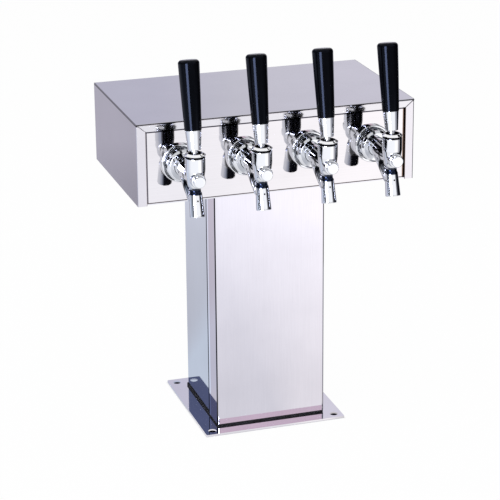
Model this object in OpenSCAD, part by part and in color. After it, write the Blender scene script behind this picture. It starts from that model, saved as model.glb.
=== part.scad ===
// Four-tap draught beer tower: a boxed stainless head on a square column.
// The origin is the centre of the base plate's underside, +Z is up and the taps face -Y.

/* [Head] */
// Width of the head box
head_w = 375; // [350:1:450]
// Depth of the head box, front frame to back
head_d = 222; // [200:1:260]
// Height of the head box
head_h = 108; // [100:1:130]
// Height of the whole housing, base plate's underside to the head's top
tower_h = 447; // [400:1:600]
// Thickness of the stainless sheet
sheet_t = 1.5; // [1:0.1:2]
// Depth of the top cover's front and back flanges
top_strip = 10; // [8:0.5:14]
// Width of the end covers' front and back flanges
end_strip = 12; // [9:0.5:14]
// Gap left between two sheets that meet
seam = 0.4; // [0.2:0.1:0.8]
// Outer radius of the head's folded edges
fold_r = 2; // [2:0.1:3]

/* [Column] */
// Width and depth of the square column
column_w = 152.4; // [140:0.2:165]
// Depth of the front cover's side returns
cover_return = 40.8; // [25:0.2:60]
// Outer radius of the column's upright folds
column_fold_r = 3; // [2.4:0.1:5]

/* [Base] */
// Width and depth of the square base plate
base_w = 197; // [190:1:230]
// Thickness of the base plate
base_t = 3; // [2:0.5:5]
// Thickness of the black gasket under the column
gasket_t = 3; // [2:0.5:4]
// Diameter of the four mounting holes
mount_hole_d = 11; // [8:0.5:12]
// Distance from the plate's edges to a mounting hole's centre
mount_inset = 11.5; // [10:0.5:13]
// Width of the square line opening through the base and the neck
opening_w = 110; // [100:1:112]

/* [Taps] */
// Distance between neighbouring taps
tap_pitch = 87; // [82:0.5:89]
// Depth of the shank axis below the head's top
tap_drop = 55; // [50:0.5:60]
// Diameter of the round flange against the front panel
flange_d = 50; // [44:1:54]
// Outer diameter of the coupling nut
nut_d = 42; // [40:0.5:44]
// Number of spanner holes round the coupling nut
nut_holes = 12; // [6:1:14]
// Length of the shank behind the front panel
shank_l = 60; // [50:1:64]
// Distance from the front frame to the lever barrel's axis
barrel_reach = 66.4; // [64:0.2:72]
// Outer diameter of the lever barrel
barrel_d = 25.5; // [25.5:0.1:27]
// Diameter of the collar on the barrel
collar_d = 26.4; // [26:0.1:29]
// Diameter of the lever's ball
ball_d = 18; // [17:0.1:18]
// Height of the ball's centre above the shank axis
ball_rise = 23; // [22.5:0.1:23.5]
// Diameter of the spout at its outlet
spout_d = 19.5; // [18:0.1:21]
// Depth of the spout's outlet below the shank axis
spout_drop = 49.5; // [46:0.5:54]

/* [Handles] */
// Lean of a closed handle away from the drinker
handle_lean = 10; // [8:0.5:12]
// Swing of a handle from closed to open
handle_swing = 30; // [26:1:30]
// Length of the black handle
handle_l = 87; // [70:1:120]
// Diameter of the handle at its foot
handle_foot_d = 21.5; // [20:0.5:24]
// Diameter of the handle near its top
handle_top_d = 27; // [24:0.5:32]
// Length of the chrome ferrule under the handle
ferrule_l = 24.6; // [20:0.1:28]

/* [Hidden] */
$fn = 64;

// Clearances: between faces, in a screw thread, in a running fit and beside a loose part
face_gap = 0.2;
thread_gap = 0.1;
run_gap = 0.06;
lay_gap = 0.3;
loose_gap = 0.5;
cut = 1;

// Housing planes and sizes
head_z0 = tower_h - head_h;
front_y = -head_d / 2;
back_y = head_d / 2;
steel_in = sheet_t + seam;
panel_in = 3.9;
panel_y = front_y + panel_in;
panel_back_y = panel_y + sheet_t;
panel_half_w = head_w / 2 - steel_in;
axis_z = tower_h - tap_drop;
column_z0 = base_t + gasket_t;
shell_w = column_w - 2 * (sheet_t + face_gap);
shell_in_w = shell_w - 2 * sheet_t;
socket_w = shell_in_w - 2 * face_gap;
socket_t = 2;
socket_rise = 26;
screw_r = 2.1;
screw_head_r = 3.9;
back_screw_l = 7;
tap_x = [for (i = [0:3]) (i - 1.5) * tap_pitch];

// Tap sizes: f runs forwards from the front frame's plane, z up from the shank axis
flange_t = 5.5;
flange_f = flange_t - panel_in;
shank_r = 11;
shank_collar_r = 14.2;
shank_collar_f = flange_f + 5;
shank_bore_r = 4.5;
shank_mouth_r = 9;
shank_mouth_l = 15;
shank_end_y = panel_back_y + shank_l;
lock_nut_t = 9;
lock_nut_across = 32;
tail_nut_across = 28;
tail_nut_grip = 8;
tail_flange_t = 3;
tail_l = 14;
tail_y = shank_end_y + tail_l;
washer_t = 1.5;
body_f = shank_collar_f + washer_t;
body_flange_t = 3.5;
body_flange_r = 13.8;
neck_f = body_f + body_flange_t;
neck_r = 12.5;
nut_back_gap = 0.8;
nut_f0 = flange_f + nut_back_gap;
nut_web_t = 4.5;
nut_f1 = neck_f + nut_web_t;
nut_chamfer = 2.6;
nut_hole_d = 6;
nut_hole_deep = 3.4;
seat_f = body_f + 6;
seat_t = 3;
seat_r = 6.5;
seat_washer_t = 2.8;
seat_washer_r = 7.6;
retainer_t = 1.4;
retainer_r = 4.6;
chamber_r = 8.2;
neck_end_r = 10;
horn_f = neck_f + 17;
horn_r = 12.2;
horn_end_f = barrel_reach - 4.8;
horn_end_z = -27;
horn_end_r = 9.4;
horn_bore_r = 5.5;
horn_bore_drop = 6;
horn_bore_end_z = -31;
barrel_r = barrel_d / 2;
barrel_bore_r = barrel_r - 1.65;
barrel_top = ball_rise + 5.2;
barrel_low = ball_rise - 12;
barrel_seat = ball_rise - 8.2;
bulb_z = -5;
bulb_r = 10.6;
boss_r = 9.2;
boss_f = barrel_reach + 15.6;
cap_r = 7.6;
cap_t = 5.5;
cap_round = 1.4;
ball_r = ball_d / 2;
ball_seat_h = 5;
ball_seat_hole_r = 6.3;
ball_hole_r = 7.2;
ball_hole_rise = 5.5;
passage_r = 7.9;
passage_back = 1.9;
collar_r = collar_d / 2;
collar_gap = 0.8;
collar_low = barrel_top + collar_gap;
collar_rise = 9.4;
collar_top = ball_rise + collar_rise;
collar_slope = 2.2;
collar_mouth_r = 9.2;
spout_top_f = barrel_reach - 1.6;
spout_top_z = -19;
spout_top_r = 8.2;
spout_out_f = barrel_reach + 6;
spout_lean = atan((spout_out_f - spout_top_f) / (spout_drop + spout_top_z));
spout_root = 12;
spout_root_f = spout_top_f - spout_root * sin(spout_lean);
spout_root_z = spout_top_z + spout_root * cos(spout_lean);
spout_bore_r = 6.6;
spout_bore_up = 6;
vent_r = 1.1;
vent_z = -27.5;
blend = 0.1;

// Lever, shaft and handle
lever_neck_r = 4.5;
stem_r = 2.6;
tip_r = 3;
stud_r = 4.7;
stud_l = 32;
ferrule_rise = 12.8;
ferrule_edge = 0.5;
ferrule_foot_r = 8.3;
ferrule_top_r = 10.2;
handle_round = 4.5;
tip_swing = ball_rise * (sin(handle_lean) + sin(handle_swing - handle_lean));
tip_f = barrel_reach + ball_rise * sin(handle_lean);
shaft_r = 6;
shaft_neck_r = 3.5;
shaft_main_f = tip_f - 18.5;
shaft_f1 = tip_f + 12.8;
guide_f = shaft_main_f - tip_swing - 1.5;
washer_f1 = seat_f - lay_gap;
washer_f0 = washer_f1 - seat_washer_t;
slot_w = 2 * tip_r + 1;
slot_floor = -tip_r - 0.8;
relief_z = 2;
relief_half_w = 9.2;

// Pipes in the column and the head
line_r = 4;
line_wall = 0.8;
line_bend = 16;
line_end_z = 8;
foam_floor_t = 28;
inner_line_y = -8;
outer_line_x = 26;
outer_line_y = 10;
glycol_r = 4.8;
glycol_wall = 0.9;
glycol_bend = 20;
glycol_x = 26;
glycol_hose_gap = 0.9;
glycol_back_y = opening_w / 2 - glycol_r - glycol_hose_gap;
glycol_in = 36;
glycol_front_y = front_y + glycol_in;
glycol_out = 20;
glycol_side_x = 1.5 * tap_pitch + glycol_out;
glycol_rise = 34;
glycol_z = axis_z + glycol_rise;

// A filled square with round corners
module round_square(w, r) {
  square([w - 2 * r, w], center = true);
  square([w, w - 2 * r], center = true);
  for (sx = [-1, 1], sy = [-1, 1])
    translate([sx * (w / 2 - r), sy * (w / 2 - r)]) circle(r = r);
}

// A hexagon, given its width across the flats
module hexagon(across) {
  polygon([for (i = [0:5]) across / 2 / cos(30) * [cos(i * 60), sin(i * 60)]]);
}

// An upright square tube
module square_tube(outer_w, inner_w, h) {
  linear_extrude(h) difference() {
    square(outer_w, center = true);
    square(inner_w, center = true);
  }
}

// A cylinder or cone along +Y, from depth y0 to y1
module rod_y(y0, y1, r, r2 = -1) {
  translate([0, y0, 0]) rotate([-90, 0, 0])
    cylinder(h = y1 - y0, r1 = r, r2 = r2 < 0 ? r : r2);
}

// A cylinder or cone of a tap, from f0 to f1 forwards of the front frame
module forward(f0, f1, r, r2 = -1) {
  translate([0, front_y - f0, 0]) rotate([90, 0, 0])
    cylinder(h = f1 - f0, r1 = r, r2 = r2 < 0 ? r : r2);
}

// A cylinder or cone in a tap's middle plane, from (f0, z0) to (f1, z1)
module strut(f0, z0, f1, z1, r0, r1) {
  translate([0, front_y - f0, z0]) rotate([atan2(f1 - f0, z1 - z0), 0, 0])
    cylinder(h = norm([f1 - f0, z1 - z0]), r1 = r0, r2 = r1);
}

module ball_at(f, z, r) {
  translate([0, front_y - f, z]) sphere(r = r);
}

// A hexagon nut blank along +Y
module hex_y(y0, y1, across) {
  translate([0, y0, 0]) rotate([-90, 0, 0]) linear_extrude(y1 - y0) hexagon(across);
}

module at_tap(i) {
  translate([tap_x[i], 0, axis_z]) children();
}

module each_tap() {
  for (i = [0:3]) at_tap(i) children();
}

// The axes of a tap's barrel and of its closed lever
module on_barrel() {
  translate([0, front_y - barrel_reach, 0]) children();
}

module on_lever() {
  on_barrel() translate([0, 0, ball_rise]) rotate([-handle_lean, 0, 0]) children();
}

// Base plate with its line opening and four mounting holes
module base_plate() {
  reach = base_w / 2 - mount_inset;
  color("#d0ceda") difference() {
    linear_extrude(base_t) round_square(base_w, 2);
    translate([0, 0, -cut]) square_hole(base_t + 2 * cut);
    for (sx = [-1, 1], sy = [-1, 1])
      translate([sx * reach, sy * reach, -cut]) cylinder(h = base_t + 2 * cut, d = mount_hole_d);
    each_screw() {
      translate([0, 0, -cut]) cylinder(h = base_t + 2 * cut, r = screw_r + thread_gap);
      translate([0, 0, -0.01]) cylinder(h = screw_head_r - screw_r,
        r1 = screw_head_r + thread_gap, r2 = screw_r + thread_gap);
    }
  }
}

module square_hole(h) {
  linear_extrude(h) square(opening_w, center = true);
}

// The four places where a socket is screwed down
module each_screw() {
  for (a = [0:90:270]) rotate(a) translate([(opening_w + socket_w) / 4, 0, 0]) children();
}

// Black rubber ring between the column and the base plate
module base_gasket() {
  color("#161619") translate([0, 0, base_t]) linear_extrude(gasket_t) difference() {
    round_square(column_w - 0.6, column_fold_r - 0.3);
    square(socket_w + 2 * face_gap, center = true);
  }
}

// Folded square ring that holds an end of the column from inside
module socket() {
  difference() {
    union() {
      square_tube(socket_w, socket_w - 2 * socket_t, socket_rise);
      square_tube(socket_w, opening_w, socket_t);
    }
    each_screw() translate([0, 0, -cut])
      cylinder(h = socket_t + 2 * cut, r = screw_r + thread_gap);
  }
}

module base_socket() {
  color("#a9a8b2") translate([0, 0, base_t]) socket();
}

// Countersunk screws up through the base plate
module base_screws() {
  color("#b8b8c0") each_screw() {
    cylinder(h = screw_head_r - screw_r, r1 = screw_head_r, r2 = screw_r);
    cylinder(h = base_t + socket_t + 3, r = screw_r);
  }
}

// Back and sides of the column, open at the front
module column_shell() {
  color("#bcc3ce") translate([0, 0, column_z0]) linear_extrude(head_z0 - column_z0) difference() {
    round_square(shell_w, column_fold_r);
    square(shell_in_w, center = true);
    translate([-column_w, column_fold_r + loose_gap - shell_w / 2 - column_w])
      square([2 * column_w, column_w]);
  }
}

// Front of the column, with side returns lapped over the shell
module column_front_cover() {
  inside = shell_w + 2 * face_gap;
  color("#e4e3ec") translate([0, 0, column_z0]) linear_extrude(head_z0 - column_z0) difference() {
    round_square(column_w, column_fold_r);
    translate([-inside / 2, sheet_t - column_w / 2]) square([inside, column_w]);
    translate([-column_w, cover_return - column_w / 2]) square(2 * column_w);
  }
}

// Insulation round the pipes in the column, between the two sockets
module column_foam() {
  z0 = base_t + socket_rise + lay_gap;
  z1 = head_z0 - socket_rise - lay_gap;
  color("#e6dfb8") translate([0, 0, z0])
    square_tube(shell_in_w - 2 * lay_gap, opening_w, z1 - z0);
}

// The same folded ring upside down, under the head's floor
module neck_socket() {
  color("#a9a8b2") translate([0, 0, head_z0]) mirror([0, 0, 1]) socket();
}

// Pan head screws down through the head's floor
module neck_screws() {
  color("#b8b8c0") translate([0, 0, head_z0]) each_screw() {
    translate([0, 0, sheet_t]) cylinder(h = 2.2, r = screw_head_r);
    translate([0, 0, -socket_t - 3]) cylinder(h = sheet_t + socket_t + 4, r = screw_r);
  }
}

// Floor of the head, with the line opening and the neck's screw holes
module head_bottom_panel() {
  color("#a9a8b2") translate([0, 0, head_z0]) difference() {
    translate([-panel_half_w, panel_y, 0])
      cube([2 * panel_half_w, back_y - steel_in - panel_y, sheet_t]);
    translate([0, 0, -cut]) square_hole(sheet_t + 2 * cut);
    each_screw() translate([0, 0, -cut])
      cylinder(h = sheet_t + 2 * cut, r = screw_r + thread_gap);
  }
}

// What is cut away to round the fold along +Z at the origin
module fold_cut(length) {
  difference() {
    translate([-cut, -cut, -cut]) cube([fold_r + cut, fold_r + cut, length + 2 * cut]);
    translate([fold_r, fold_r, -2 * cut]) cylinder(h = length + 4 * cut, r = fold_r);
  }
}

// One end of the head, with a mitred front flange and a stepped back one
module head_end() {
  top = head_h - steel_in;
  slope = top_strip / end_strip;
  mitre_low = head_h - 2 * seam;
  color("#a9a8b2") difference() {
    translate([-head_w / 2, front_y, head_z0]) difference() {
      union() {
        cube([sheet_t, head_d, top]);
        cube([end_strip, sheet_t, top]);
        translate([0, head_d - steel_in - sheet_t, steel_in])
          cube([end_strip, sheet_t, top - steel_in]);
      }
      translate([0, sheet_t, 0]) rotate([90, 0, 0]) linear_extrude(sheet_t + cut)
        polygon([[-cut, mitre_low + cut * slope],
          [end_strip + cut, mitre_low - (end_strip + cut) * slope],
          [end_strip + cut, head_h + cut], [-cut, head_h + cut]]);
      fold_cut(head_h);
    }
    each_back_screw() rod_y(-back_screw_l - cut, cut, screw_r + thread_gap);
  }
}

module head_left_end() {
  head_end();
}

module head_right_end() {
  mirror([1, 0, 0]) head_end();
}

// Top of the head, folded down into a mitred strip at the front and the back
module head_top_cover() {
  half_w = head_w / 2;
  color("#b9b8c4") translate([0, 0, tower_h]) difference() {
    union() {
      translate([-half_w, front_y, -sheet_t]) cube([head_w, head_d, sheet_t]);
      for (side = [0, 1]) mirror([0, side, 0])
        translate([0, front_y + sheet_t, 0]) rotate([90, 0, 0]) linear_extrude(sheet_t)
          polygon([[-half_w, 0], [half_w, 0],
            [half_w - end_strip, -top_strip], [end_strip - half_w, -top_strip]]);
    }
    for (side = [0, 1]) mirror([0, side, 0])
      translate([-half_w, front_y, 0]) rotate([90, 0, 90]) mirror([0, 1, 0]) fold_cut(head_w);
  }
}

// Polished front panel behind the strips, drilled for the shanks
module head_front_panel() {
  low = head_z0 + sheet_t + face_gap;
  color("#f2f1f6") difference() {
    translate([-panel_half_w, panel_y, low])
      cube([2 * panel_half_w, sheet_t, tower_h - steel_in - low]);
    each_tap() rod_y(panel_y - cut, panel_back_y + cut, shank_r + face_gap);
  }
}

// Screw places on the back panel, three down each side
module each_back_screw() {
  reach = (head_w - end_strip - steel_in) / 2;
  for (sx = [-1, 1], share = [0.12, 0.5, 0.84])
    translate([sx * reach, back_y, head_z0 + share * head_h]) children();
}

// Service panel screwed to the end covers' back flanges
module head_back_panel() {
  h = head_h - top_strip - 2 * seam - sheet_t;
  color("#a9a8b2") difference() {
    translate([-panel_half_w, back_y - sheet_t, head_z0 + steel_in])
      cube([2 * panel_half_w, sheet_t, h - seam]);
    each_back_screw() rod_y(-back_screw_l, cut, screw_r + thread_gap);
  }
}

module head_back_screws() {
  color("#b8b8c0") each_back_screw() {
    rod_y(0, 1.8, screw_head_r, screw_head_r - 1);
    rod_y(-back_screw_l, 1, screw_r);
  }
}

// Insulating tray in the head: a floor, a back and two ends
module head_foam() {
  half_w = panel_half_w - end_strip - 1;
  z0 = head_z0 + sheet_t + lay_gap;
  y0 = panel_back_y + 1;
  pipe_half_w = glycol_side_x + glycol_r + 4;
  neck_half_w = (opening_w + socket_w) / 4 + screw_head_r + 1;
  color("#e6dfb8") difference() {
    translate([-half_w, y0, z0])
      cube([2 * half_w, back_y - steel_in - sheet_t - 1 - y0, tower_h - steel_in - 2 - z0]);
    translate([-pipe_half_w, y0 - cut, head_z0 + foam_floor_t])
      cube([2 * pipe_half_w, opening_w / 2 - y0 + cut, head_h]);
    translate([-neck_half_w, -neck_half_w, z0 - cut])
      cube([2 * neck_half_w, neck_half_w + opening_w / 2, head_h]);
    each_screw() translate([0, 0, z0 - cut]) cylinder(h = 4, r = screw_head_r + 1);
  }
}

// Frame matrix with its columns along x, y and z and its origin at c
function frame_of(x, y, z, c) = [
  [x[0], y[0], z[0], c[0]],
  [x[1], y[1], z[1], c[1]],
  [x[2], y[2], z[2], c[2]],
  [0, 0, 0, 1]
];
function unit(v) = v / norm(v);
function side_of(u) = abs(u[2]) > 0.9 ? [1, 0, 0] : cross(u, [0, 0, 1]);

// A round bar from a to b, each of them a level or an upright step apart
module bar(a, b, r) {
  u = unit(b - a);
  x = side_of(u);
  multmatrix(frame_of(x, cross(u, x), u, a)) cylinder(h = norm(b - a), r = r);
}

// A round bar through square corners, each bent to a quarter circle
module bent_bar(points, r, bend, over = 0) {
  last = len(points) - 1;
  for (i = [0:last - 1]) {
    u = unit(points[i + 1] - points[i]);
    start = i > 0 ? bend : -over;
    end = i < last - 1 ? bend : -over;
    bar(points[i] + start * u, points[i + 1] - end * u, r);
  }
  for (i = [1:last - 1]) {
    u = unit(points[i] - points[i - 1]);
    v = unit(points[i + 1] - points[i]);
    multmatrix(frame_of(-v, u, cross(u, v), points[i] - bend * u + bend * v))
      rotate_extrude(angle = 90) translate([bend, 0]) circle(r = r);
  }
}

module bent_pipe(points, r, wall, bend) {
  difference() {
    bent_bar(points, r, bend);
    bent_bar(points, r - wall, bend, cut);
  }
}

// Copper coolant loop: up the column, round over the shanks and down again
module glycol_loop() {
  color("#c98a5e") bent_pipe([
    [glycol_x, glycol_back_y, line_end_z], [glycol_x, glycol_back_y, glycol_z],
    [glycol_side_x, glycol_back_y, glycol_z], [glycol_side_x, glycol_front_y, glycol_z],
    [-glycol_side_x, glycol_front_y, glycol_z], [-glycol_side_x, glycol_back_y, glycol_z],
    [-glycol_x, glycol_back_y, glycol_z], [-glycol_x, glycol_back_y, line_end_z]
  ], glycol_r, glycol_wall, glycol_bend);
}

// Stainless beer lines from the tailpieces to the base; side is -1 or 1
module inner_line(side) {
  x = side * tap_pitch / 2;
  color("#c6c8cc") bent_pipe([[x, tail_y, axis_z], [x, inner_line_y, axis_z],
    [x, inner_line_y, line_end_z]], line_r, line_wall, line_bend);
}

module outer_line(side) {
  x = side * 1.5 * tap_pitch;
  low_x = side * outer_line_x;
  color("#c6c8cc") bent_pipe([[x, tail_y, axis_z], [x, outer_line_y, axis_z],
    [low_x, outer_line_y, axis_z], [low_x, outer_line_y, line_end_z]],
    line_r, line_wall, line_bend);
}

module beer_line_1() {
  outer_line(-1);
}

module beer_line_2() {
  inner_line(-1);
}

module beer_line_3() {
  inner_line(1);
}

module beer_line_4() {
  outer_line(1);
}

// Round flanges between the front panel and the shanks' collars
module shank_flanges() {
  color("#c9cad2") each_tap() difference() {
    union() {
      forward(-panel_in, flange_f - 1.2, flange_d / 2);
      forward(flange_f - 1.2, flange_f, flange_d / 2, flange_d / 2 - 1.2);
    }
    forward(-panel_in - cut, flange_f + cut, shank_r + face_gap);
  }
}

// Threaded shanks through the front panel, bored for the beer
module shanks() {
  mouth_y = front_y - shank_collar_f;
  color("#c9cad2") each_tap() difference() {
    union() {
      rod_y(front_y - flange_f, shank_end_y, shank_r);
      forward(flange_f, shank_collar_f, shank_collar_r);
    }
    rod_y(mouth_y - cut, shank_end_y + cut, shank_bore_r);
    rod_y(mouth_y - cut, mouth_y + shank_mouth_l, shank_mouth_r);
  }
}

// Nuts that pull the shanks tight from inside
module lock_nuts() {
  color("#c2a35a") each_tap() difference() {
    hex_y(panel_back_y, panel_back_y + lock_nut_t, lock_nut_across);
    rod_y(panel_back_y - cut, panel_back_y + lock_nut_t + cut, shank_r + thread_gap);
  }
}

// Flanged nozzles on the shanks' back ends
module tailpieces() {
  color("#c6c8cc") each_tap() difference() {
    union() {
      rod_y(shank_end_y, shank_end_y + tail_flange_t, shank_r - 1);
      rod_y(shank_end_y + tail_flange_t, tail_y, line_r + 2);
    }
    rod_y(shank_end_y - cut, tail_y + cut, line_r - line_wall);
  }
}

// Nuts that hold the nozzles on the shanks
module tail_nuts() {
  lip_y = shank_end_y + tail_flange_t + thread_gap;
  color("#c2a35a") each_tap() difference() {
    hex_y(shank_end_y - tail_nut_grip, lip_y + 2, tail_nut_across);
    rod_y(shank_end_y - tail_nut_grip - cut, lip_y, shank_r + thread_gap);
    rod_y(shank_end_y, lip_y + 2 + cut, line_r + 2 + face_gap);
  }
}

// Black washers between the shanks and the faucets
module coupling_washers() {
  color("#1b1b1f") each_tap() difference() {
    forward(shank_collar_f, body_f, body_flange_r - lay_gap);
    forward(shank_collar_f - cut, body_f + cut, shank_mouth_r);
  }
}

// Round coupling nut with a ring of blind spanner holes
module coupling_nut() {
  rim_f = nut_f1 - nut_chamfer;
  color("#d2d3da") difference() {
    union() {
      forward(nut_f0, rim_f, nut_d / 2);
      forward(rim_f, nut_f1, nut_d / 2, nut_d / 2 - nut_chamfer);
    }
    forward(nut_f0 - cut, neck_f + thread_gap, shank_collar_r + thread_gap);
    forward(nut_f0, nut_f1 + cut, neck_r + face_gap);
    for (a = [0:360 / nut_holes:359])
      translate([0, front_y - (nut_f0 + rim_f) / 2, 0]) rotate([0, a, 0])
        translate([0, 0, nut_d / 2 - nut_hole_deep]) cylinder(h = nut_d / 2, d = nut_hole_d);
  }
}

module coupling_nut_1() {
  at_tap(0) coupling_nut();
}

module coupling_nut_2() {
  at_tap(1) coupling_nut();
}

module coupling_nut_3() {
  at_tap(2) coupling_nut();
}

module coupling_nut_4() {
  at_tap(3) coupling_nut();
}

// Cast outside of a faucet: neck, horn, barrel, front boss and spout
module faucet_casting() {
  forward(body_f, neck_f, body_flange_r);
  forward(neck_f, horn_f, neck_r);
  forward(horn_f, barrel_reach, neck_r, neck_end_r);
  strut(horn_f, 0, horn_end_f, horn_end_z, horn_r, horn_end_r - blend);
  ball_at(horn_end_f, horn_end_z, horn_end_r);
  on_barrel() {
    translate([0, 0, bulb_z]) sphere(r = bulb_r);
    translate([0, 0, bulb_z])
      cylinder(h = barrel_low - bulb_z, r1 = bulb_r - blend, r2 = barrel_r);
    translate([0, 0, barrel_low]) cylinder(h = barrel_top - barrel_low, r = barrel_r);
  }
  forward(barrel_reach, boss_f, boss_r);
  strut(spout_root_f, spout_root_z, spout_top_f, spout_top_z, spout_top_r, spout_top_r);
  strut(spout_top_f, spout_top_z, spout_out_f, -spout_drop, spout_top_r, spout_d / 2);
}

// Faucet body with its seat, chamber, shaft guide, barrel and spout bored out
module faucet_body() {
  bore_f = spout_top_f - spout_bore_up * sin(spout_lean);
  bore_z = spout_top_z + spout_bore_up * cos(spout_lean);
  color("#cfd3dc") difference() {
    faucet_casting();
    forward(body_f - cut, seat_f, shank_mouth_r);
    forward(seat_f - cut, seat_f + seat_t + cut, seat_r);
    forward(seat_f + seat_t, guide_f, chamber_r);
    forward(guide_f - cut, boss_f + cut, shaft_r + run_gap);
    on_barrel() {
      translate([0, passage_back, 0]) cylinder(h = barrel_top, r = passage_r);
      translate([0, 0, barrel_seat]) cylinder(h = barrel_top, r = barrel_bore_r);
    }
    strut(horn_f, -horn_bore_drop, spout_top_f + 1.2, horn_bore_end_z, horn_bore_r, horn_bore_r);
    strut(bore_f, bore_z, spout_out_f + cut * sin(spout_lean),
      -spout_drop - cut * cos(spout_lean), spout_bore_r, spout_bore_r);
    translate([0, 0, vent_z]) forward(barrel_reach, spout_out_f + spout_d, vent_r);
  }
}

module faucet_body_1() {
  at_tap(0) faucet_body();
}

module faucet_body_2() {
  at_tap(1) faucet_body();
}

module faucet_body_3() {
  at_tap(2) faucet_body();
}

module faucet_body_4() {
  at_tap(3) faucet_body();
}

// Round caps that close the shaft guides
module front_caps() {
  color("#e3e4ea") each_tap() difference() {
    union() {
      forward(boss_f, boss_f + cap_t - cap_round, cap_r);
      forward(boss_f + cap_t - cap_round, boss_f + cap_t, cap_r, cap_r - cap_round);
    }
    forward(boss_f - cut, shaft_f1 + loose_gap, shaft_r + loose_gap);
  }
}

// Plastic rings that carry the levers' balls
module ball_seats() {
  color("#e8e8e4") each_tap() on_barrel() difference() {
    translate([0, 0, barrel_seat]) cylinder(h = ball_seat_h, r = barrel_bore_r - thread_gap);
    translate([0, 0, barrel_seat - cut]) cylinder(h = ball_seat_h + 2 * cut, r = ball_seat_hole_r);
    translate([0, 0, ball_rise]) sphere(r = ball_r + run_gap);
  }
}

// Collars screwed into the barrels over the levers' balls
module collars() {
  plug_z = barrel_seat + ball_seat_h + face_gap;
  color("#d8d9e0") each_tap() on_barrel() difference() {
    union() {
      translate([0, 0, plug_z]) cylinder(h = collar_low - plug_z, r = barrel_bore_r - thread_gap);
      translate([0, 0, collar_low])
        cylinder(h = collar_top - collar_slope - collar_low, r = collar_r);
      translate([0, 0, collar_top - collar_slope])
        cylinder(h = collar_slope, r1 = collar_r, r2 = collar_mouth_r + 0.6);
    }
    translate([0, 0, plug_z - cut]) cylinder(h = ball_rise - plug_z + cut, r = ball_r + run_gap);
    translate([0, 0, ball_rise]) sphere(r = ball_r + run_gap);
    translate([0, 0, ball_rise]) cylinder(h = ball_hole_rise + 0.01, r = ball_hole_r);
    translate([0, 0, ball_rise + ball_hole_rise])
      cylinder(h = collar_top - ball_rise - ball_hole_rise + 0.01,
        r1 = ball_hole_r, r2 = collar_mouth_r);
  }
}

// Sliding shaft, slotted for the lever's tip
module valve_shaft() {
  color("#c6c8cc") difference() {
    union() {
      forward(washer_f0 - retainer_t, washer_f0, retainer_r);
      forward(washer_f0 - retainer_t, shaft_main_f + cut, shaft_neck_r);
      forward(shaft_main_f, shaft_f1, shaft_r);
    }
    translate([-shaft_r - cut, front_y - tip_f - slot_w / 2, slot_floor])
      cube([2 * (shaft_r + cut), slot_w, 2 * shaft_r]);
    translate([-shaft_r - cut, front_y - tip_f - relief_half_w, relief_z])
      cube([2 * (shaft_r + cut), 2 * relief_half_w, shaft_r]);
  }
}

module valve_shaft_1() {
  at_tap(0) valve_shaft();
}

module valve_shaft_2() {
  at_tap(1) valve_shaft();
}

module valve_shaft_3() {
  at_tap(2) valve_shaft();
}

module valve_shaft_4() {
  at_tap(3) valve_shaft();
}

// Rubber washer on the shaft, which closes against the seat
module seat_washer() {
  color("#1b1b1f") difference() {
    forward(washer_f0, washer_f1, seat_washer_r);
    forward(washer_f0 - cut, washer_f1 + cut, shaft_neck_r + thread_gap);
  }
}

module seat_washer_1() {
  at_tap(0) seat_washer();
}

module seat_washer_2() {
  at_tap(1) seat_washer();
}

module seat_washer_3() {
  at_tap(2) seat_washer();
}

module seat_washer_4() {
  at_tap(3) seat_washer();
}

// Lever: a ball with a tip below it and a neck and a stud above it
module lever() {
  color("#c6c8cc") on_lever() {
    sphere(r = ball_r);
    cylinder(h = ferrule_rise, r = lever_neck_r);
    translate([0, 0, ferrule_rise]) cylinder(h = stud_l, r = stud_r);
    translate([0, 0, -ball_rise]) {
      cylinder(h = ball_rise, r = stem_r);
      sphere(r = tip_r);
    }
  }
}

module lever_1() {
  at_tap(0) lever();
}

module lever_2() {
  at_tap(1) lever();
}

module lever_3() {
  at_tap(2) lever();
}

module lever_4() {
  at_tap(3) lever();
}

// Chrome ferrule between the lever's neck and the handle
module ferrule() {
  color("#e3e4ea") on_lever() translate([0, 0, ferrule_rise]) difference() {
    union() {
      cylinder(h = ferrule_edge, r1 = ferrule_foot_r - ferrule_edge, r2 = ferrule_foot_r);
      translate([0, 0, ferrule_edge])
        cylinder(h = ferrule_l - ferrule_edge, r1 = ferrule_foot_r, r2 = ferrule_top_r);
    }
    translate([0, 0, -cut]) cylinder(h = ferrule_l + 2 * cut, r = stud_r + thread_gap);
  }
}

module ferrule_1() {
  at_tap(0) ferrule();
}

module ferrule_2() {
  at_tap(1) ferrule();
}

module ferrule_3() {
  at_tap(2) ferrule();
}

module ferrule_4() {
  at_tap(3) ferrule();
}

// Black tapered handle with a round shoulder, screwed on the lever's stud
module handle() {
  shoulder_z = handle_l - handle_round;
  top_r = handle_top_d / 2;
  color("#0b0b0d") on_lever() translate([0, 0, ferrule_rise + ferrule_l]) difference() {
    union() {
      cylinder(h = 1, r1 = handle_foot_d / 2 - 1, r2 = handle_foot_d / 2);
      translate([0, 0, 1]) cylinder(h = shoulder_z - 1, r1 = handle_foot_d / 2, r2 = top_r);
      translate([0, 0, shoulder_z]) {
        rotate_extrude() translate([top_r - handle_round, 0]) circle(r = handle_round);
        cylinder(h = handle_round, r = top_r - handle_round);
      }
    }
    translate([0, 0, -cut])
      cylinder(h = cut + stud_l - ferrule_l + loose_gap, r = stud_r + thread_gap);
  }
}

module handle_1() {
  at_tap(0) handle();
}

module handle_2() {
  at_tap(1) handle();
}

module handle_3() {
  at_tap(2) handle();
}

module handle_4() {
  at_tap(3) handle();
}

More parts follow.
